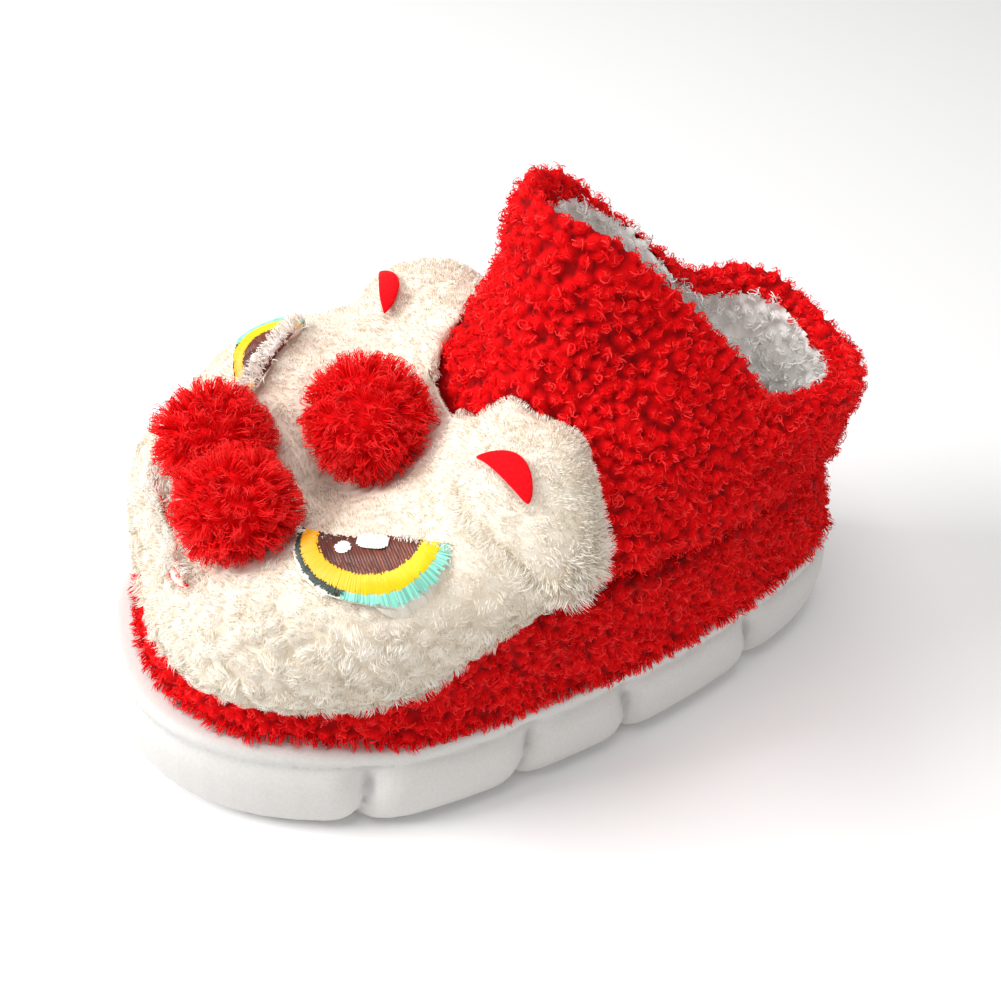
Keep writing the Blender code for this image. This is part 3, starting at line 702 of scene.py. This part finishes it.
# %% Nap helper
def plush(name, roots, upright, length, clumps, lean, gather, rng, width=0.14 * MM, bright=0.78):
    """Soft fibres that bend over the way of their clump and draw towards its middle."""
    middle, number, _ = nearest(index_of(clumps), roots)
    way = rng.normal(size=(len(clumps), 3))[number] + 0.5 * rng.normal(size=roots.shape)
    way = unit(way - upright * (way * upright).sum(1, keepdims=True))
    tall = rng.uniform(0.8, 1.2, len(clumps))[number]
    size = np.reshape(length * tall, (-1, 1)) * rng.uniform(0.75, 1.1, (len(roots), 1))
    lean = np.broadcast_to(np.reshape(lean, (-1, 1)), size.shape)
    draw = (middle - roots) * np.reshape(gather, (-1, 1))
    bend = roots + (upright * (0.6 - 0.1 * lean) + way * 0.25 * lean) * size + 0.35 * draw
    tip = roots + (upright * (1 - 0.55 * lean) + way * 0.8 * lean) * size + draw
    paths = np.stack([roots - upright * 0.3 * MM, bend, tip], 1)
    tint = rng.normal(bright, 0.07, len(clumps))[number] + rng.normal(0, 0.08, len(roots))
    # Painted shade: each fibre is coloured darker at its root, deep in the pile, and lighter at its tip.
    tone = np.clip(tint[:, None] + np.array([[-0.42, 0.0, 0.12]]), 0, 1)
    return ribbons(name, paths, np.full(len(roots), width), tone, (1.0, 1.0, 0.35), rng, upright)


# %% Hem of the fleece on the ledge
HEM_HEIGHT = 31.5 * MM
HEM_COUNT = 6500
HEM_TRIALS = 90000
HEM_LENGTH = 3.2 * MM
HEM_STEP = 2.4 * MM
HEM_WIDTH = 0.24 * MM
DOWN = np.array([0.0, 0.0, -1.0])

roots, upright = scatter(upper, HEM_TRIALS, seed=13)
hem = (roots[:, 2] < HEM_HEIGHT) & (np.abs(upright[:, 2]) < 0.7)
hem &= (unit(roots - hollow_middle(roots)) * upright).sum(1) > 0
hem &= rng.random(len(roots)) < HEM_COUNT / hem.sum()
roots, out = roots[hem], unit(upright[hem] + 0.45 * DOWN)
tufts = roots[thin_out(roots, HEM_STEP)]
length = np.full(len(roots), HEM_LENGTH)
hem = plush("fleece_hem", roots, out, length, tufts, 0.35, 0.65, rng, HEM_WIDTH, bright=0.6)
places = points_of(hem)
places[:, 2] = np.maximum(places[:, 2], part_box("upper")[0][2] + 0.2 * MM)
move_points(hem, places)
dress(hem, RED_YARN, "fleece")

# %% [markdown]
# ## Lining and insole
#
# White sherpa lines the upper and covers the insole. Its knots are looser and larger than those of the
# fleece. Only the part near the opening is seen, so only that part gets curls.

# %% Lining and insole
TUFT_SPACING = 3.0 * MM
TUFT_TRIALS = 20000
TUFT_DOME = (2.3 * MM, 1.3 * MM)
TUFT_CURLS = 10
TUFT_RADIUS = 1.3 * MM
TUFT_LIFT = (0.2 * MM, 1.8 * MM)
SEEN_DEPTH = 40 * MM
SEEN_ALONG = 20 * MM

insole = copy_of("insole", "sherpa_insole")
apply_modifier(insole, "REMESH", mode="VOXEL", voxel_size=1.5 * MM)
apply_modifier(insole, "SMOOTH", factor=0.5, iterations=3)
thin_mesh(insole, 0.8)
for piece, nodes in ((lining, ()), (insole, ("insole",))):
    roots, upright = scatter(piece, TUFT_TRIALS, seed=17)
    kept = thin_out(roots, TUFT_SPACING)
    tufts, tuft_normals = roots[kept], upright[kept]
    # The sherpa gets painted shade in the pits between its tufts.
    raise_knots(piece, tufts, *TUFT_DOME, 0.65, 1.0, rng)
    dress(piece, WHITE_SHERPA, "lining", *nodes)
    if piece == lining:
        seen = rim_depth(tufts) < SEEN_DEPTH
    else:
        seen = (tuft_normals[:, 2] > 0.5) & (tufts[:, 1] > SEEN_ALONG)
    paths = curl_paths(tufts[seen], tuft_normals[seen], TUFT_CURLS, TUFT_RADIUS, *TUFT_LIFT, 5, rng)
    tone = np.clip(rng.normal(0.92, 0.12, len(paths)), 0, 1)
    widths = rng.uniform(0.2, 0.4, len(paths)) * MM
    out = np.repeat(tuft_normals[seen], TUFT_CURLS, 0)
    curls = ribbons(piece.name + "_curls", paths, widths, tone, (0.8, 1, 0.4), rng, out)
    dress(curls, WHITE_SHERPA, "lining")

# %% [markdown]
# ## Head and ears
#
# The head is a stuffed pad of cream plush, with an ear at each side that runs into it without a seam. The
# solids of head and ears are joined for the head's skin. It is blown up, joined and let down again, which
# fills the narrow slit beside each ear, and then it is smoothed, so that the plush bridges the joint.
# On the brow and ears the nap is short and smooth. On the cheeks it lies over in soft clumps, and round the
# edge it stands out in little points.

# %% Nearness helper
def close_to(trees, places):
    """Distance from each place to the nearest of the trees."""
    return np.min([ground_of(tree, places)[2] for tree in trees], axis=0)


# %% Head
CLUMP_SPACING = 3.4 * MM
CHEEK_TOP = (66 * MM, 76 * MM)
EAR_SHRINK = 0.8 * MM
SKIN_STEP = 1.2 * MM
SLIT_FILL = 2.5 * MM
JOINT_REACH = (5 * MM, 12 * MM)
JOINT_ROUNDS = 110
JOINT_RISE = 1.6 * MM

head_tree = tree_of(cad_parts["head"])
ear_trees = [tree_of(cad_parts[n]) for n in ("ear_left", "ear_right")]
parts = [copy_of("ear_left", "inner_left"), copy_of("ear_right", "inner_right")]
for ear in parts:
    move_points(ear, points_of(ear) - normals_of(ear) * EAR_SHRINK)
head = copy_of("head", "plush_head")
for ear in parts:
    ear.select_set(True)
bpy.ops.object.join()
move_points(head, points_of(head) + normals_of(head) * SLIT_FILL)
soften(head, SKIN_STEP, 2)
move_points(head, points_of(head) - normals_of(head) * SLIT_FILL)
apply_modifier(head, "SMOOTH", factor=0.5, iterations=8)
places = points_of(head)
apart = np.maximum(close_to([head_tree], places), close_to(ear_trees, places))
joint = head.vertex_groups.new(name="joint")
for number, weight in enumerate(1 - smooth_step(apart, *JOINT_REACH)):
    if weight > 0:
        joint.add([number], weight, "REPLACE")
apply_modifier(head, "SMOOTH", factor=0.5, iterations=JOINT_ROUNDS, vertex_group="joint")
apply_modifier(head, "DISPLACE", strength=JOINT_RISE, mid_level=0.0, vertex_group="joint")
print("head points:", len(places))

# %% Lumps of the head
CLUMP_TRIALS = 9000
FUZZ_STEP = 2.0 * MM
FUZZ_RISE = 0.25 * MM

places, normals = points_of(head), normals_of(head)
cheek = 1 - smooth_step(places[:, 2], *CHEEK_TOP)
clumps = scatter(head, CLUMP_TRIALS, seed=23)[0]
clumps = clumps[thin_out(clumps, CLUMP_SPACING)]
away = nearest(index_of(clumps), places)[2]
lump = np.clip(1 - (away / (0.8 * CLUMP_SPACING)) ** 2, 0, 1)
fuzz = FUZZ_RISE * soft_noise(places, FUZZ_STEP, 4.0)
move_points(head, places + normals * ((cheek * 0.6 + 0.15) * MM * (lump - 0.5) + fuzz)[:, None])
# Painted shade: the skin is coloured darker between the lumps.
set_shade(head, 0.5 + 0.25 * lump)
dress(head, CREAM_PLUSH, "plush", "head")

# %% Ears
EAR_STEP = 1.0 * MM
EAR_ROUNDS = 16
SINK = 0.6 * MM

skin_tree = tree_of(head)
ears = {}
for side in ("left", "right"):
    ear = copy_of("ear_" + side, "plush_ear_" + side)
    soften(ear, EAR_STEP, EAR_ROUNDS)
    places = points_of(ear)
    ground, out, _ = ground_of(skin_tree, places)
    proud = ((places - ground) * out).sum(1)
    share = (1 - smooth_step(close_to([head_tree], places), *JOINT_REACH)) * (proud > -SINK)
    places += (ground - out * SINK - places) * share[:, None]
    move_points(ear, places)
    fuzz = soft_noise(places, FUZZ_STEP, 6.0)
    move_points(ear, places + normals_of(ear) * (FUZZ_RISE * fuzz)[:, None])
    # Painted shade: the skin is coloured darker in the dips of its fuzz and lighter on its rises.
    set_shade(ear, 0.62 + 0.15 * fuzz)
    dress(ear, CREAM_PLUSH, "plush", "ear_" + side)
    ears[side] = ear
    print(ear.name, "points under the skin:", int((share > 0.5).sum()))


# %% Flat of an eye
def eye_flat(node):
    """The middle of an eye's brow edge, half of that edge, the way to its round edge, its bow and normal."""
    places = points_of(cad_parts[node])
    inner = places[np.abs(places[:, 0]).argmin()]
    outer = places[places[:, 1].argmax()]
    middle = (inner + outer) / 2
    brow = (outer - inner) / 2
    away = places - middle
    square = away - np.outer(away @ brow / (brow @ brow), brow)
    drop = away[np.linalg.norm(square, axis=1).argmax()]
    normal = np.cross(brow, drop)
    normal *= np.sign(normal[2]) / np.linalg.norm(normal)
    u, v = np.linalg.lstsq(np.stack([brow, drop], 1), away.T, rcond=None)[0]
    bow = v[np.abs(u) < 0.25].min()
    print(f"{node}: {2000 * np.linalg.norm(brow):.1f} mm along the brow, bow {bow:.2f}")
    return middle, brow, drop, bow, normal


def on_eye(eye, tree, flat):
    """Places on an eye's patch, from places in its flat."""
    middle, brow, drop, bow, normal = eye
    u, v = flat[..., :1], flat[..., 1:]
    places = middle + u * brow + (v + (1 - v) * bow * (1 - u * u)) * drop
    tops = np.empty_like(places)
    for number in np.ndindex(places.shape[:-1]):
        start = Vector(places[number] + normal * 20 * MM)
        hit = tree.ray_cast(start, Vector(-normal), 40 * MM)[0]
        tops[number] = hit if hit is not None else tree.find_nearest(Vector(places[number]))[0]
    return tops


# %% Cloth of the eyes, sunk in the plush outside the stitches
STITCH_EDGE = (1.01, 1.07)
CLOTH_SINK = 5.5 * MM

EYES = {side: eye_flat("eye_" + side) for side in ("left", "right")}
EYE_TREES = {side: tree_of(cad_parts["eye_" + side]) for side in EYES}
cloths = {}
for side, (middle, brow, drop, bow, normal) in EYES.items():
    cloth = copy_of("eye_" + side, "eye_cloth_" + side)
    apply_modifier(cloth, "SUBSURF", subdivision_type="SIMPLE", levels=2, render_levels=2)
    places = points_of(cloth)
    u, v = np.linalg.lstsq(np.stack([brow, drop], 1), (places - middle).T, rcond=None)[0]
    bend = bow * (1 - u * u)
    v = (v - bend) / np.maximum(1 - bend, 0.1)
    outside = smooth_step(np.hypot(u, v), *STITCH_EDGE)
    move_points(cloth, places - normal * CLOTH_SINK * outside[:, None])
    cloths[side] = cloth

# %% Nap of the head
ON_FACE = ("mouth", "pompom_forehead", "pompom_nose_left", "pompom_nose_right")
NAP_TRIALS = 110000
NAP_COUNT = 37000
FACE_ROOM = 5 * MM
NAP_ROOM = 3 * MM

face_trees = [tree_of(piece) for piece in [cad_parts[n] for n in ON_FACE] + list(cloths.values())]
roots, upright = scatter(head, NAP_TRIALS, seed=29)
bare = covered(roots, upright, face_trees, FACE_ROOM)
bare |= covered(roots, upright, [upper_tree] + [tree_of(ear) for ear in ears.values()], NAP_ROOM)
roots, upright = roots[~bare], upright[~bare]
keep = rng.random(len(roots)) < NAP_COUNT / len(roots)
roots, upright = roots[keep], upright[keep]
cheek = 1 - smooth_step(roots[:, 2], *CHEEK_TOP)
length = (1.5 + 1.0 * cheek) * MM
nap = plush("head_nap", roots, upright, length, clumps, 0.6 + 0.25 * cheek, 0.1 + 0.35 * cheek, rng)
dress(nap, CREAM_PLUSH, "plush")

# %% Pointed tufts round the edge of the head
FRINGE_TRIALS = 150000
FRINGE_COUNT = 7000
FRINGE_REACH = 4.0 * MM
FRINGE_LENGTH = 3.9 * MM
FRINGE_STEP = 2.6 * MM
FRINGE_HEIGHTS = (70 * MM, 90 * MM)

roots, upright = scatter(head, FRINGE_TRIALS, seed=37)
_, ground, height = ground_of(upper_tree, roots)
tilt = (upright * ground).sum(1, keepdims=True)
flat = upright - ground * tilt
rim = (height < FRINGE_REACH) & (np.linalg.norm(flat, axis=1) > 0.55) & (tilt[:, 0] > -0.4)
rim &= close_to(ear_trees, roots) > FRINGE_REACH
rim &= rng.random(len(roots)) < FRINGE_COUNT / rim.sum()
roots = roots[rim]
way = unit(unit(flat[rim]) + 0.45 * ground[rim])
tufts = roots[thin_out(roots, FRINGE_STEP)]
length = FRINGE_LENGTH * (1 - 0.45 * smooth_step(roots[:, 2], *FRINGE_HEIGHTS))
fringe = plush("head_fringe", roots, way, length, tufts, 0.4, 0.55, rng, bright=0.85)
dress(fringe, CREAM_PLUSH, "plush")

# %% Nap of the ears, with long tufts round the lower rim
EAR_NAP = 12500
EAR_ROOM = 2.5 * MM
EAR_CLUMP = 2.6 * MM
EAR_LENGTH = 1.6 * MM
EAR_TRIALS = 60000
EAR_FRINGE = 3600
EAR_TUFT_STEP = 2.2 * MM
EAR_TUFT = (1.6 * MM, 5.2 * MM)
TUFT_HEIGHTS = (76 * MM, 94 * MM)

for side, ear in ears.items():
    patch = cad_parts["inner_ear_" + side]
    roots, upright = scatter(ear, EAR_NAP, seed=31)
    bare = covered(roots, upright, [tree_of(patch), skin_tree, upper_tree], EAR_ROOM)
    roots, upright = roots[~bare], upright[~bare]
    ear_clumps = roots[thin_out(roots, EAR_CLUMP)]
    length = np.full(len(roots), EAR_LENGTH)
    nap = plush("ear_nap_" + side, roots, upright, length, ear_clumps, 0.6, 0.15, rng)
    dress(nap, CREAM_PLUSH, "plush")
    middle = points_of(patch).mean(0)
    facing = unit(middle - np.array(upper_tree.find_nearest(Vector(middle))[0]))
    roots, upright = scatter(ear, EAR_TRIALS, seed=43)
    tilt = (upright * facing).sum(1, keepdims=True)
    flat = upright - facing * tilt
    rim = (np.linalg.norm(flat, axis=1) > 0.8) & (close_to([head_tree], roots) > JOINT_REACH[0])
    rim &= rng.random(len(roots)) < EAR_FRINGE / rim.sum()
    roots, flat = roots[rim], flat[rim]
    tufts = roots[thin_out(roots, EAR_TUFT_STEP)]
    share = 1 - smooth_step(roots[:, 2], *TUFT_HEIGHTS)
    size = EAR_TUFT[0] + (EAR_TUFT[1] - EAR_TUFT[0]) * share
    way = unit(unit(flat) + 0.3 * facing + 0.12 * rng.normal(size=roots.shape))
    fringe = plush("ear_fringe_" + side, roots, way, size, tufts, 0.35, 0.5 * share, rng, bright=0.85)
    dress(fringe, CREAM_PLUSH, "plush")

# %% Brow nap over the top edge of each eye
BROW_COUNT = {"left": 700, "right": 2400}
BROW_COVER = {"left": (-0.15, -0.02), "right": (-0.15, 0.26)}
BROW_LENGTHS = (1.4 * MM, 2.6 * MM)
BROW_WIDTH = 0.22 * MM
GLINT_ROOM = (0.06, 0.27)

roots, ways, rise = [], [], []
for side, eye in EYES.items():
    count = BROW_COUNT[side]
    flat = np.stack([rng.uniform(-1.05, 1.05, count), rng.uniform(*BROW_COVER[side], count)], 1)
    flat = flat[(np.abs(flat[:, 0] - GLINT_ROOM[0]) > GLINT_ROOM[1]) | (side == "right")]
    roots.append(on_eye(eye, EYE_TREES[side], flat))
    ways.append(np.tile(unit(eye[2]), (len(flat), 1)))
    rise.append(np.tile(eye[4], (len(flat), 1)))
roots, ways, rise = (np.concatenate(group) for group in (roots, ways, rise))
size = rng.uniform(*BROW_LENGTHS, (len(roots), 1))
ways = unit(ways + 0.45 * rng.normal(size=ways.shape))
bend = roots + size * (0.40 * rise + 0.4 * ways)
paths = np.stack([roots, bend, roots + size * (0.35 * rise + 0.9 * ways)], 1)
# Painted shade: each brow fibre is coloured darker at its root and lighter at its tip.
tone = np.clip(rng.normal(0.9, 0.1, (len(roots), 1)) + np.array([[-0.15, 0.0, 0.1]]), 0, 1)
brow_nap = ribbons("brow_nap", paths, np.full(len(roots), BROW_WIDTH), tone, (1, 1, 0.35), rng, rise)
dress(brow_nap, CREAM_PLUSH, "plush")

# %% [markdown]
# ## Eyes
#
# The eyes are embroidered: a brown iris of slanting stitches, a satin rim that turns from orange to yellow,
# a mint edge, and two white glints. A picture of stitches would be flat, so each stitch is a thread of its
# own. It is laid out in the flat of the eye, whose u runs along the straight brow edge from -1 to 1 and
# whose v runs down to 1 at the round edge, and then dropped on the patch.

# %% Thread helpers
thread_finish, tree, shader = new_finish("embroidery_thread", 0.38, 0.15, 0.4)
tree.links.new(stored(tree, "dye").outputs["Color"], shader.inputs["Base Color"])


def threads(name, paths, normals, widths, colours):
    """Round-backed threads along paths, joined in one mesh and dyed one by one."""
    count, steps = paths.shape[:2]
    along = unit(np.gradient(paths, axis=1))
    side = unit(np.cross(along, normals)) * (np.reshape(widths, (-1, 1, 1)) / 2)
    crown = normals * (np.reshape(widths, (-1, 1, 1)) * 0.55)
    crown[:, 0] *= 0.1
    crown[:, -1] *= 0.1
    points = np.stack([paths - side, paths + crown, paths + side], 2).reshape(-1, 3)
    first = (np.arange(count)[:, None] * steps + np.arange(steps - 1)) * 3
    left = np.stack([first + 1, first, first + 3, first + 4], -1).reshape(-1, 4)
    right = np.stack([first + 2, first + 1, first + 4, first + 5], -1).reshape(-1, 4)
    mesh = bpy.data.meshes.new(name)
    mesh.from_pydata(points.tolist(), [], np.concatenate([left, right]).tolist())
    smooth_faces(mesh)
    layer = mesh.attributes.new("dye", "FLOAT_COLOR", "POINT")
    tint = np.concatenate([np.asarray(colours), np.ones((count, 1))], 1)
    layer.data.foreach_set("color", np.repeat(tint, steps * 3, 0).astype(np.float32).ravel())
    piece = bpy.data.objects.new(name, mesh)
    scene.collection.objects.link(piece)
    return piece


def mix(pair, share):
    """Colours between two, by a share for each."""
    share = np.clip(np.asarray(share), 0, 1)[:, None]
    return np.asarray(pair[0]) * (1 - share) + np.asarray(pair[1]) * share


def stitches(starts, ends, lift, width, colours):
    """Threads from starts to ends in the flat of the eye, with their lift, width and dye."""
    share = np.linspace(0, 1, 5)[None, :, None]
    flat = starts[:, None] * (1 - share) + ends[:, None] * share
    return flat, np.full(len(flat), lift), np.full(len(flat), width), np.broadcast_to(colours, (len(flat), 3))


# %% Stitches of the iris
IRIS_EDGE = 0.70
SLANT = math.radians(56)
ROW_STEP = 0.036
STITCH_REACH = 0.32
IRIS_LIFT = 0.25 * MM
IRIS_WIDTH = 0.7 * MM
BROWN = ((0.045, 0.014, 0.012), (0.26, 0.065, 0.035))


def iris_stitches(rng):
    """Slanting rows of short brown stitches, darkest at the inner corner."""
    slant = np.array([math.cos(SLANT), math.sin(SLANT)])
    square = np.array([-slant[1], slant[0]])
    starts, ends = [], []
    for row in np.arange(-IRIS_EDGE + 0.01, IRIS_EDGE, ROW_STEP):
        far = math.sqrt(IRIS_EDGE**2 - row**2)
        base = square * row
        near = max(-far, -base[1] / slant[1])
        if near >= far - 0.03:
            continue
        cuts = np.arange(near, far, STITCH_REACH) + rng.uniform(-0.08, 0.08)
        cuts = np.concatenate([[near], cuts[(cuts > near + 0.06) & (cuts < far - 0.06)], [far]])
        starts += [base + slant * cut for cut in cuts[:-1]]
        ends += [base + slant * cut for cut in cuts[1:]]
    starts, ends = np.array(starts), np.array(ends)
    middle = (starts + ends) / 2
    tone = 0.45 + 0.5 * middle[:, 0] + 0.35 * (middle[:, 1] - 0.35) + rng.normal(0, 0.12, len(middle))
    return stitches(starts, ends, IRIS_LIFT, IRIS_WIDTH, mix(BROWN, tone))


# %% Satin rim, mint edge and glints
SATIN_EDGE = 0.90
MINT_EDGE = 1.04
DARK_REACH = 0.98
RIM_STITCHES = 190
SATIN_LIFT = 0.45 * MM
SATIN_WIDTH = 0.42 * MM
EDGE_LIFT = 0.30 * MM
EDGE_WIDTH = 0.4 * MM
SATIN = ((0.80, 0.30, 0.01), (0.92, 0.66, 0.0))
MINT = (0.26, 0.68, 0.55)
DARK_EDGE = ((0.01, 0.05, 0.04), (0.02, 0.02, 0.015))
WHITE_THREAD = (0.88, 0.87, 0.84)
DOT = np.array([-0.24, 0.33])
DOT_RADIUS = 0.10
GLINT = np.array([0.10, 0.16])
DOT_LIFT = 0.60 * MM
GLINT_LIFT = 0.80 * MM
GLINT_WIDTH = 0.5 * MM


def rim_stitches(rng):
    """Radial satin stitches, orange to yellow, and the dark and mint edge outside them."""
    angle = np.linspace(0.02, math.pi - 0.02, RIM_STITCHES) + rng.normal(0, 0.004, RIM_STITCHES)
    outwards = np.stack([-np.cos(angle), np.sin(angle)], 1)
    ragged = rng.normal(0, 0.012, (RIM_STITCHES, 1))
    satin = mix(SATIN, 0.15 + angle / math.pi * 1.1 + rng.normal(0, 0.06, RIM_STITCHES))
    inner, outer = outwards * (IRIS_EDGE - 0.03 + ragged), outwards * (SATIN_EDGE + ragged)
    sets = [stitches(inner, outer, SATIN_LIFT, SATIN_WIDTH, satin)]
    green = outwards[angle > 1.45]
    mint = np.clip(np.asarray(MINT) * rng.uniform(0.75, 1.35, (len(green), 1)), 0, 0.95)
    ragged = rng.normal(0, 0.02, (len(green), 1))
    inner, outer = green * (SATIN_EDGE - 0.02), green * (MINT_EDGE + ragged)
    sets.append(stitches(inner, outer, EDGE_LIFT, EDGE_WIDTH, mint))
    dark = outwards[angle < 1.5]
    ragged = rng.normal(0, 0.015, (len(dark), 1))
    black = mix(DARK_EDGE, rng.random(len(dark)))
    inner, outer = dark * (SATIN_EDGE - 0.02), dark * (DARK_REACH + ragged)
    sets.append(stitches(inner, outer, EDGE_LIFT, EDGE_WIDTH, black))
    return sets


def glint_stitches():
    """White stitches of the round glint and of the larger one that leans on the brow."""
    lines = np.linspace(-0.095, 0.095, 8)[:, None]
    reach = np.sqrt(DOT_RADIUS**2 - lines**2)
    starts = DOT + np.hstack([lines, -reach])
    ends = DOT + np.hstack([lines, reach])
    sets = [stitches(starts, ends, DOT_LIFT, GLINT_WIDTH, WHITE_THREAD)]
    lines = np.linspace(-0.19, 0.19, 13)[:, None]
    along = np.array([0.95, -0.12])
    tall = np.array([0.12, 0.98])
    reach = 0.13 * (1 - (np.abs(lines) / 0.24) ** 4)
    starts = GLINT + lines * along - tall * reach
    ends = GLINT + lines * along + tall * reach
    sets.append(stitches(starts, ends, GLINT_LIFT, GLINT_WIDTH, WHITE_THREAD))
    return sets


# %% Eyes
cloth_finish, tree, shader = new_finish("eye_cloth", 0.8, 0.2)
pattern = grain(tree, shader, 0.5 * MM, 0.3, 0.1 * MM)
tint_by(tree, shader, pattern.outputs["Fac"], [(0.3, (0.80, 0.73, 0.62)), (0.7, (0.90, 0.85, 0.76))])
for side, eye in EYES.items():
    dress(cloths[side], cloth_finish, "embroidery", "eye_" + side)
    sets = [iris_stitches(rng)] + rim_stitches(rng) + glint_stitches()
    flat, lift, width, colours = (np.concatenate(group) for group in zip(*sets))
    tops = on_eye(eye, EYE_TREES[side], flat) + eye[4] * lift[:, None, None]
    work = threads("eye_threads_" + side, tops, np.broadcast_to(eye[4], tops.shape), width, colours)
    dress(work, thread_finish, "embroidery")

# %% [markdown]
# ## Felt
#
# The insides of the ears and the mouth are cut from red felt, a cloth of matted fibres with a dull, slightly
# fuzzy face. The mouth has a pale strip along its middle, so each of its points stores how pale it is.

# %% Felt
RED_FELT = [(0.3, (0.62, 0.0, 0.004)), (0.7, (0.88, 0.006, 0.012))]
LIP_TINTS = [(0.3, (0.75, 0.003, 0.008)), (0.7, (0.86, 0.68, 0.60))]
STRIP = (0.35, 0.72)

felt, tree, shader = new_finish("red_felt", 0.9, 0.4, 0.1, (1.0, 0.3, 0.3))
pattern = grain(tree, shader, 0.4 * MM, 0.5, 0.2 * MM)
tint_by(tree, shader, pattern.outputs["Fac"], RED_FELT)
lips, tree, shader = new_finish("mouth_felt", 0.9, 0.3, 0.1, (1.0, 0.6, 0.6))
grain(tree, shader, 0.4 * MM, 0.5, 0.2 * MM)
tint_by(tree, shader, stored(tree, "pale").outputs["Fac"], LIP_TINTS)
for node in ("inner_ear_left", "inner_ear_right", "mouth"):
    patch = copy_of(node, "felt_" + node)
    apply_modifier(patch, "SUBSURF", levels=2, render_levels=2)
    bpy.ops.object.shade_smooth()
    if node == "mouth":
        mouth, places = patch, points_of(patch)
        steps = np.round(places[:, 0] / MM).astype(int)
        low, high = np.empty(len(places)), np.empty(len(places))
        for step in np.unique(steps):
            column = steps == step
            low[column], high[column] = places[column, 2].min(), places[column, 2].max()
        share = (places[:, 2] - low) / np.maximum(high - low, 0.1 * MM)
        set_shade(mouth, (share > STRIP[0]) & (share < STRIP[1]), "pale")
    dress(patch, lips if node == "mouth" else felt, "felt", node)

# %% Nap over the mouth
LIP_TRIALS = 8000
LIP_LENGTH = 2.2 * MM
LIP_EDGES = (0.2, 0.85)
NEAR_CORNER = 11 * MM

roots, upright = scatter(mouth, LIP_TRIALS, seed=53)
share = share[nearest(index_of(places), roots)[1]]
lip = (roots[:, 0] < NEAR_CORNER) | (share < LIP_EDGES[0]) | (share > LIP_EDGES[1])
lip &= upright[:, 2] > -0.2
roots, upright = roots[lip], upright[lip]
length = np.full(len(roots), LIP_LENGTH)
lip_nap = plush("lip_nap", roots, upright, length, clumps, 0.7, 0.2, rng)
dress(lip_nap, CREAM_PLUSH, "plush")

# %% [markdown]
# ## Pompoms
#
# A pompom is a tied bundle of yarn trimmed to a ball. Its strands all run outwards from the middle, so
# here they do too: thousands of thin strands that gather in locks and curl near their tips. The two on the
# nose press against each other, so no strand grows where they meet.

# %% Pompoms
STRANDS = 5600
CORE_INSET = 2.6 * MM
CORE_LUMP = 4.5 * MM
CORE_RISE = 0.6 * MM
LOCK_STEP = 2.3 * MM
STRAND_LENGTHS = (2.8, 4.4)
STRAND_CURLS = (0.6, 1.9)
STRAND_WIDTHS = (0.13, 0.24)
POMPOMS = ("pompom_forehead", "pompom_nose_left", "pompom_nose_right")

pompom_trees = {name: tree_of(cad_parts[name]) for name in POMPOMS}
for number, name in enumerate(POMPOMS):
    ball = copy_of(name, name + "_core")
    apply_modifier(ball, "SUBSURF", levels=2, render_levels=2)
    places, normals = points_of(ball), normals_of(ball)
    lump = soft_noise(places, CORE_LUMP, number + 1.0)
    move_points(ball, places - normals * (CORE_INSET - CORE_RISE * lump)[:, None])
    # Painted shade: the core, deep under the strands, is coloured darker, and darker still in its dips.
    set_shade(ball, 0.35 + 0.25 * lump)
    bpy.ops.object.shade_smooth()
    dress(ball, RED_YARN, "pompom", name)
    others = [tree for other, tree in pompom_trees.items() if other != name]
    roots, upright = scatter(ball, STRANDS, 41 + number)
    bare = covered(roots, upright, others + [head_tree], NAP_ROOM)
    roots, upright = roots[~bare], upright[~bare]
    count = len(roots)
    locks = roots[thin_out(roots, LOCK_STEP)]
    middle, lock, _ = nearest(index_of(locks), roots)
    draw = middle - roots
    way = rng.normal(size=(len(locks), 3))[lock] + 0.6 * rng.normal(size=(count, 3))
    way = unit(way - upright * (way * upright).sum(1, keepdims=True))
    length = rng.uniform(*STRAND_LENGTHS, (count, 1)) * rng.uniform(0.85, 1.1, (len(locks), 1))[lock] * MM
    curl = rng.uniform(*STRAND_CURLS, (count, 1)) * MM
    paths = np.stack([
        roots - upright * 0.4 * MM,
        roots + upright * length * 0.55 + way * curl * 0.15 + draw * 0.3,
        roots + upright * length * 0.95 + way * curl * 0.6 + draw * 0.6,
        roots + upright * length * 0.9 + way * curl * 1.25 + draw * 0.7,
    ], 1)
    tint = rng.normal(0.74, 0.1, len(locks))[lock] + rng.normal(0, 0.16, count)
    # Painted shade: each strand is coloured darker at its root and lighter towards its tip.
    tone = np.clip(tint[:, None] + np.array([[-0.45, -0.05, 0.15, 0.25]]), 0, 1)
    widths = rng.uniform(*STRAND_WIDTHS, count) * MM
    dress(ribbons(name + "_strands", paths, widths, tone, (1, 1, 0.5), rng), RED_YARN, "pompom")

size = {"cad": [list(v) for v in cad_box], "visual": [list(v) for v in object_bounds()]}
